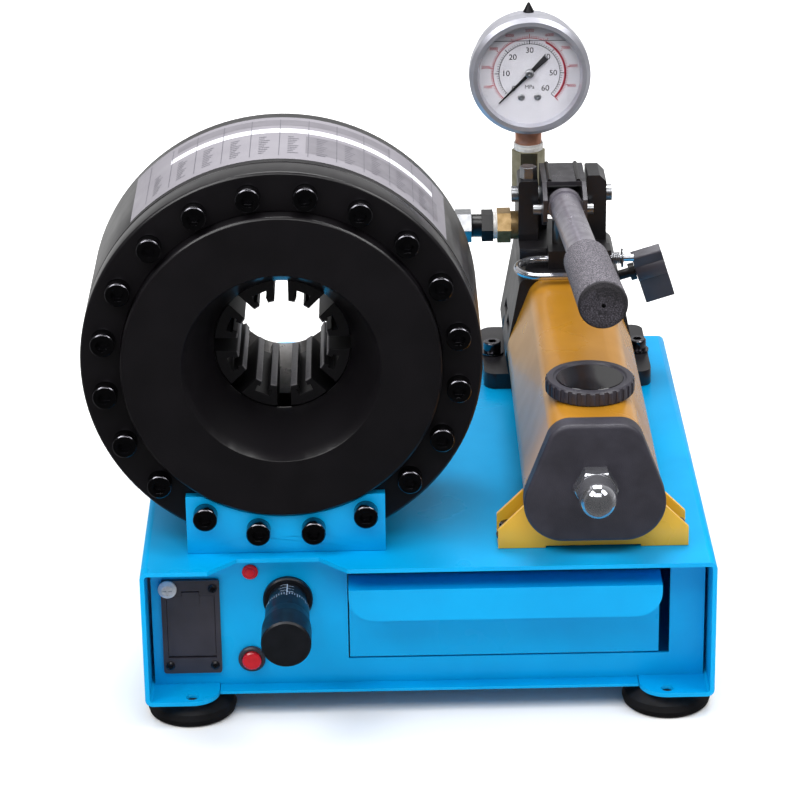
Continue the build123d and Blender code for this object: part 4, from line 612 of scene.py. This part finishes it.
# ---------------------------------------------------------------- floor, world and lamps
floor_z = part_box("rubber_feet")[0].z
floor_mesh = bpy.data.meshes.new("studio_floor")
floor_mesh.from_pydata([(-6, -6, floor_z), (6, -6, floor_z), (6, 6, floor_z), (-6, 6, floor_z)], [],
                       [[0, 1, 2, 3]])
floor_piece = bpy.data.objects.new("studio_floor", floor_mesh)
bpy.context.scene.collection.objects.link(floor_piece)

# Matt white paper sweep.  Far from the machine it glows a little for the camera, so it stays white; in
# reflections it is dark towards the front, like the unlit side of a studio.
paper, tree, shader, place = start("white_paper_sweep", Roughness=0.9, Base_Color=linear("#fbfbfb"))
rays = add(tree, "ShaderNodeLightPath")
away = add(tree, "ShaderNodeVectorMath", {0: place}, operation="LENGTH")
far = add(tree, "ShaderNodeMapRange", {"Value": away.outputs["Value"], "From Min": 0.34, "From Max": 1.3,
                                       "To Min": 0.0, "To Max": 0.6})
glow = add(tree, "ShaderNodeMath", {0: rays.outputs["Is Camera Ray"], 1: far.outputs["Result"]},
           operation="MULTIPLY")
lit = add(tree, "ShaderNodeEmission", {"Color": (1, 1, 1, 1), "Strength": glow.outputs[0]})
both = add(tree, "ShaderNodeAddShader", {0: shader.outputs["BSDF"], 1: lit.outputs["Emission"]})
spot = add(tree, "ShaderNodeSeparateXYZ", {0: place})
back = add(tree, "ShaderNodeMapRange", {"Value": spot.outputs["Y"], "From Min": -0.35, "From Max": 1.2,
                                        "To Min": 0.02, "To Max": 0.8})
mirrored = add(tree, "ShaderNodeEmission", {"Color": (1, 1, 1, 1), "Strength": back.outputs["Result"]})
shown = add(tree, "ShaderNodeMixShader", {0: rays.outputs["Is Glossy Ray"], 1: both.outputs["Shader"],
                                          2: mirrored.outputs["Emission"]})
tree.links.new(shown.outputs["Shader"], tree.nodes["Material Output"].inputs["Surface"])
floor_mesh.materials.append(paper)

# The room: white to the camera and through glass, dark in front and bright behind in reflections.
world = bpy.data.worlds.new("studio_world")
bpy.context.scene.world = world
world.use_nodes = True
tree = world.node_tree
sky = tree.nodes["Background"]
rays = add(tree, "ShaderNodeLightPath")
heading = add(tree, "ShaderNodeSeparateXYZ", {0: add(tree, "ShaderNodeTexCoord").outputs["Generated"]})
depth = add(tree, "ShaderNodeMapRange", {"Value": heading.outputs["Y"], "From Min": -0.2, "From Max": 0.9,
                                         "To Min": 0.02, "To Max": 0.6})
glossy = add(tree, "ShaderNodeMath", {0: rays.outputs["Is Glossy Ray"], 1: depth.outputs["Result"]},
             operation="MULTIPLY")
through = add(tree, "ShaderNodeMath",
              {0: rays.outputs["Is Camera Ray"], 1: rays.outputs["Is Transmission Ray"]},
              operation="MAXIMUM")
seen = add(tree, "ShaderNodeMath", {0: glossy.outputs[0], 1: through.outputs[0]}, operation="MAXIMUM")
level = add(tree, "ShaderNodeMath", {0: rays.outputs["Is Diffuse Ray"], 1: 0.45}, operation="MULTIPLY")
strength = add(tree, "ShaderNodeMath", {0: seen.outputs[0], 1: level.outputs[0]}, operation="MAXIMUM")
feed(tree, sky, {"Color": (1, 1, 1, 1), "Strength": strength.outputs[0]})


def soft_box(name, place, target, size, power):
    """A square studio lamp aimed at a point."""
    lamp = bpy.data.lights.new(name, "AREA")
    lamp.shape = "RECTANGLE"
    lamp.size, lamp.size_y = size
    lamp.energy = power
    piece = bpy.data.objects.new(name, lamp)
    aim = (Vector(target) - Vector(place)).to_track_quat("-Z", "Y")
    piece.matrix_world = Matrix.Translation(place) @ aim.to_matrix().to_4x4()
    bpy.context.scene.collection.objects.link(piece)


soft_box("left_soft_box", (-1.3, -0.9, 2.0), (0, 0, 0.15), (1.0, 1.2), 26)
soft_box("right_soft_box", (1.3, -0.7, 2.0), (0, 0, 0.15), (0.8, 1.2), 22)
soft_box("front_soft_box", (-0.1, -1.7, 2.1), (0, 0, 0.15), (1.8, 0.8), 20)
soft_box("top_soft_box", (0.0, 0.6, 2.2), (0, 0, 0.1), (1.4, 1.0), 42)

bpy.context.scene.view_settings.view_transform = "Standard"
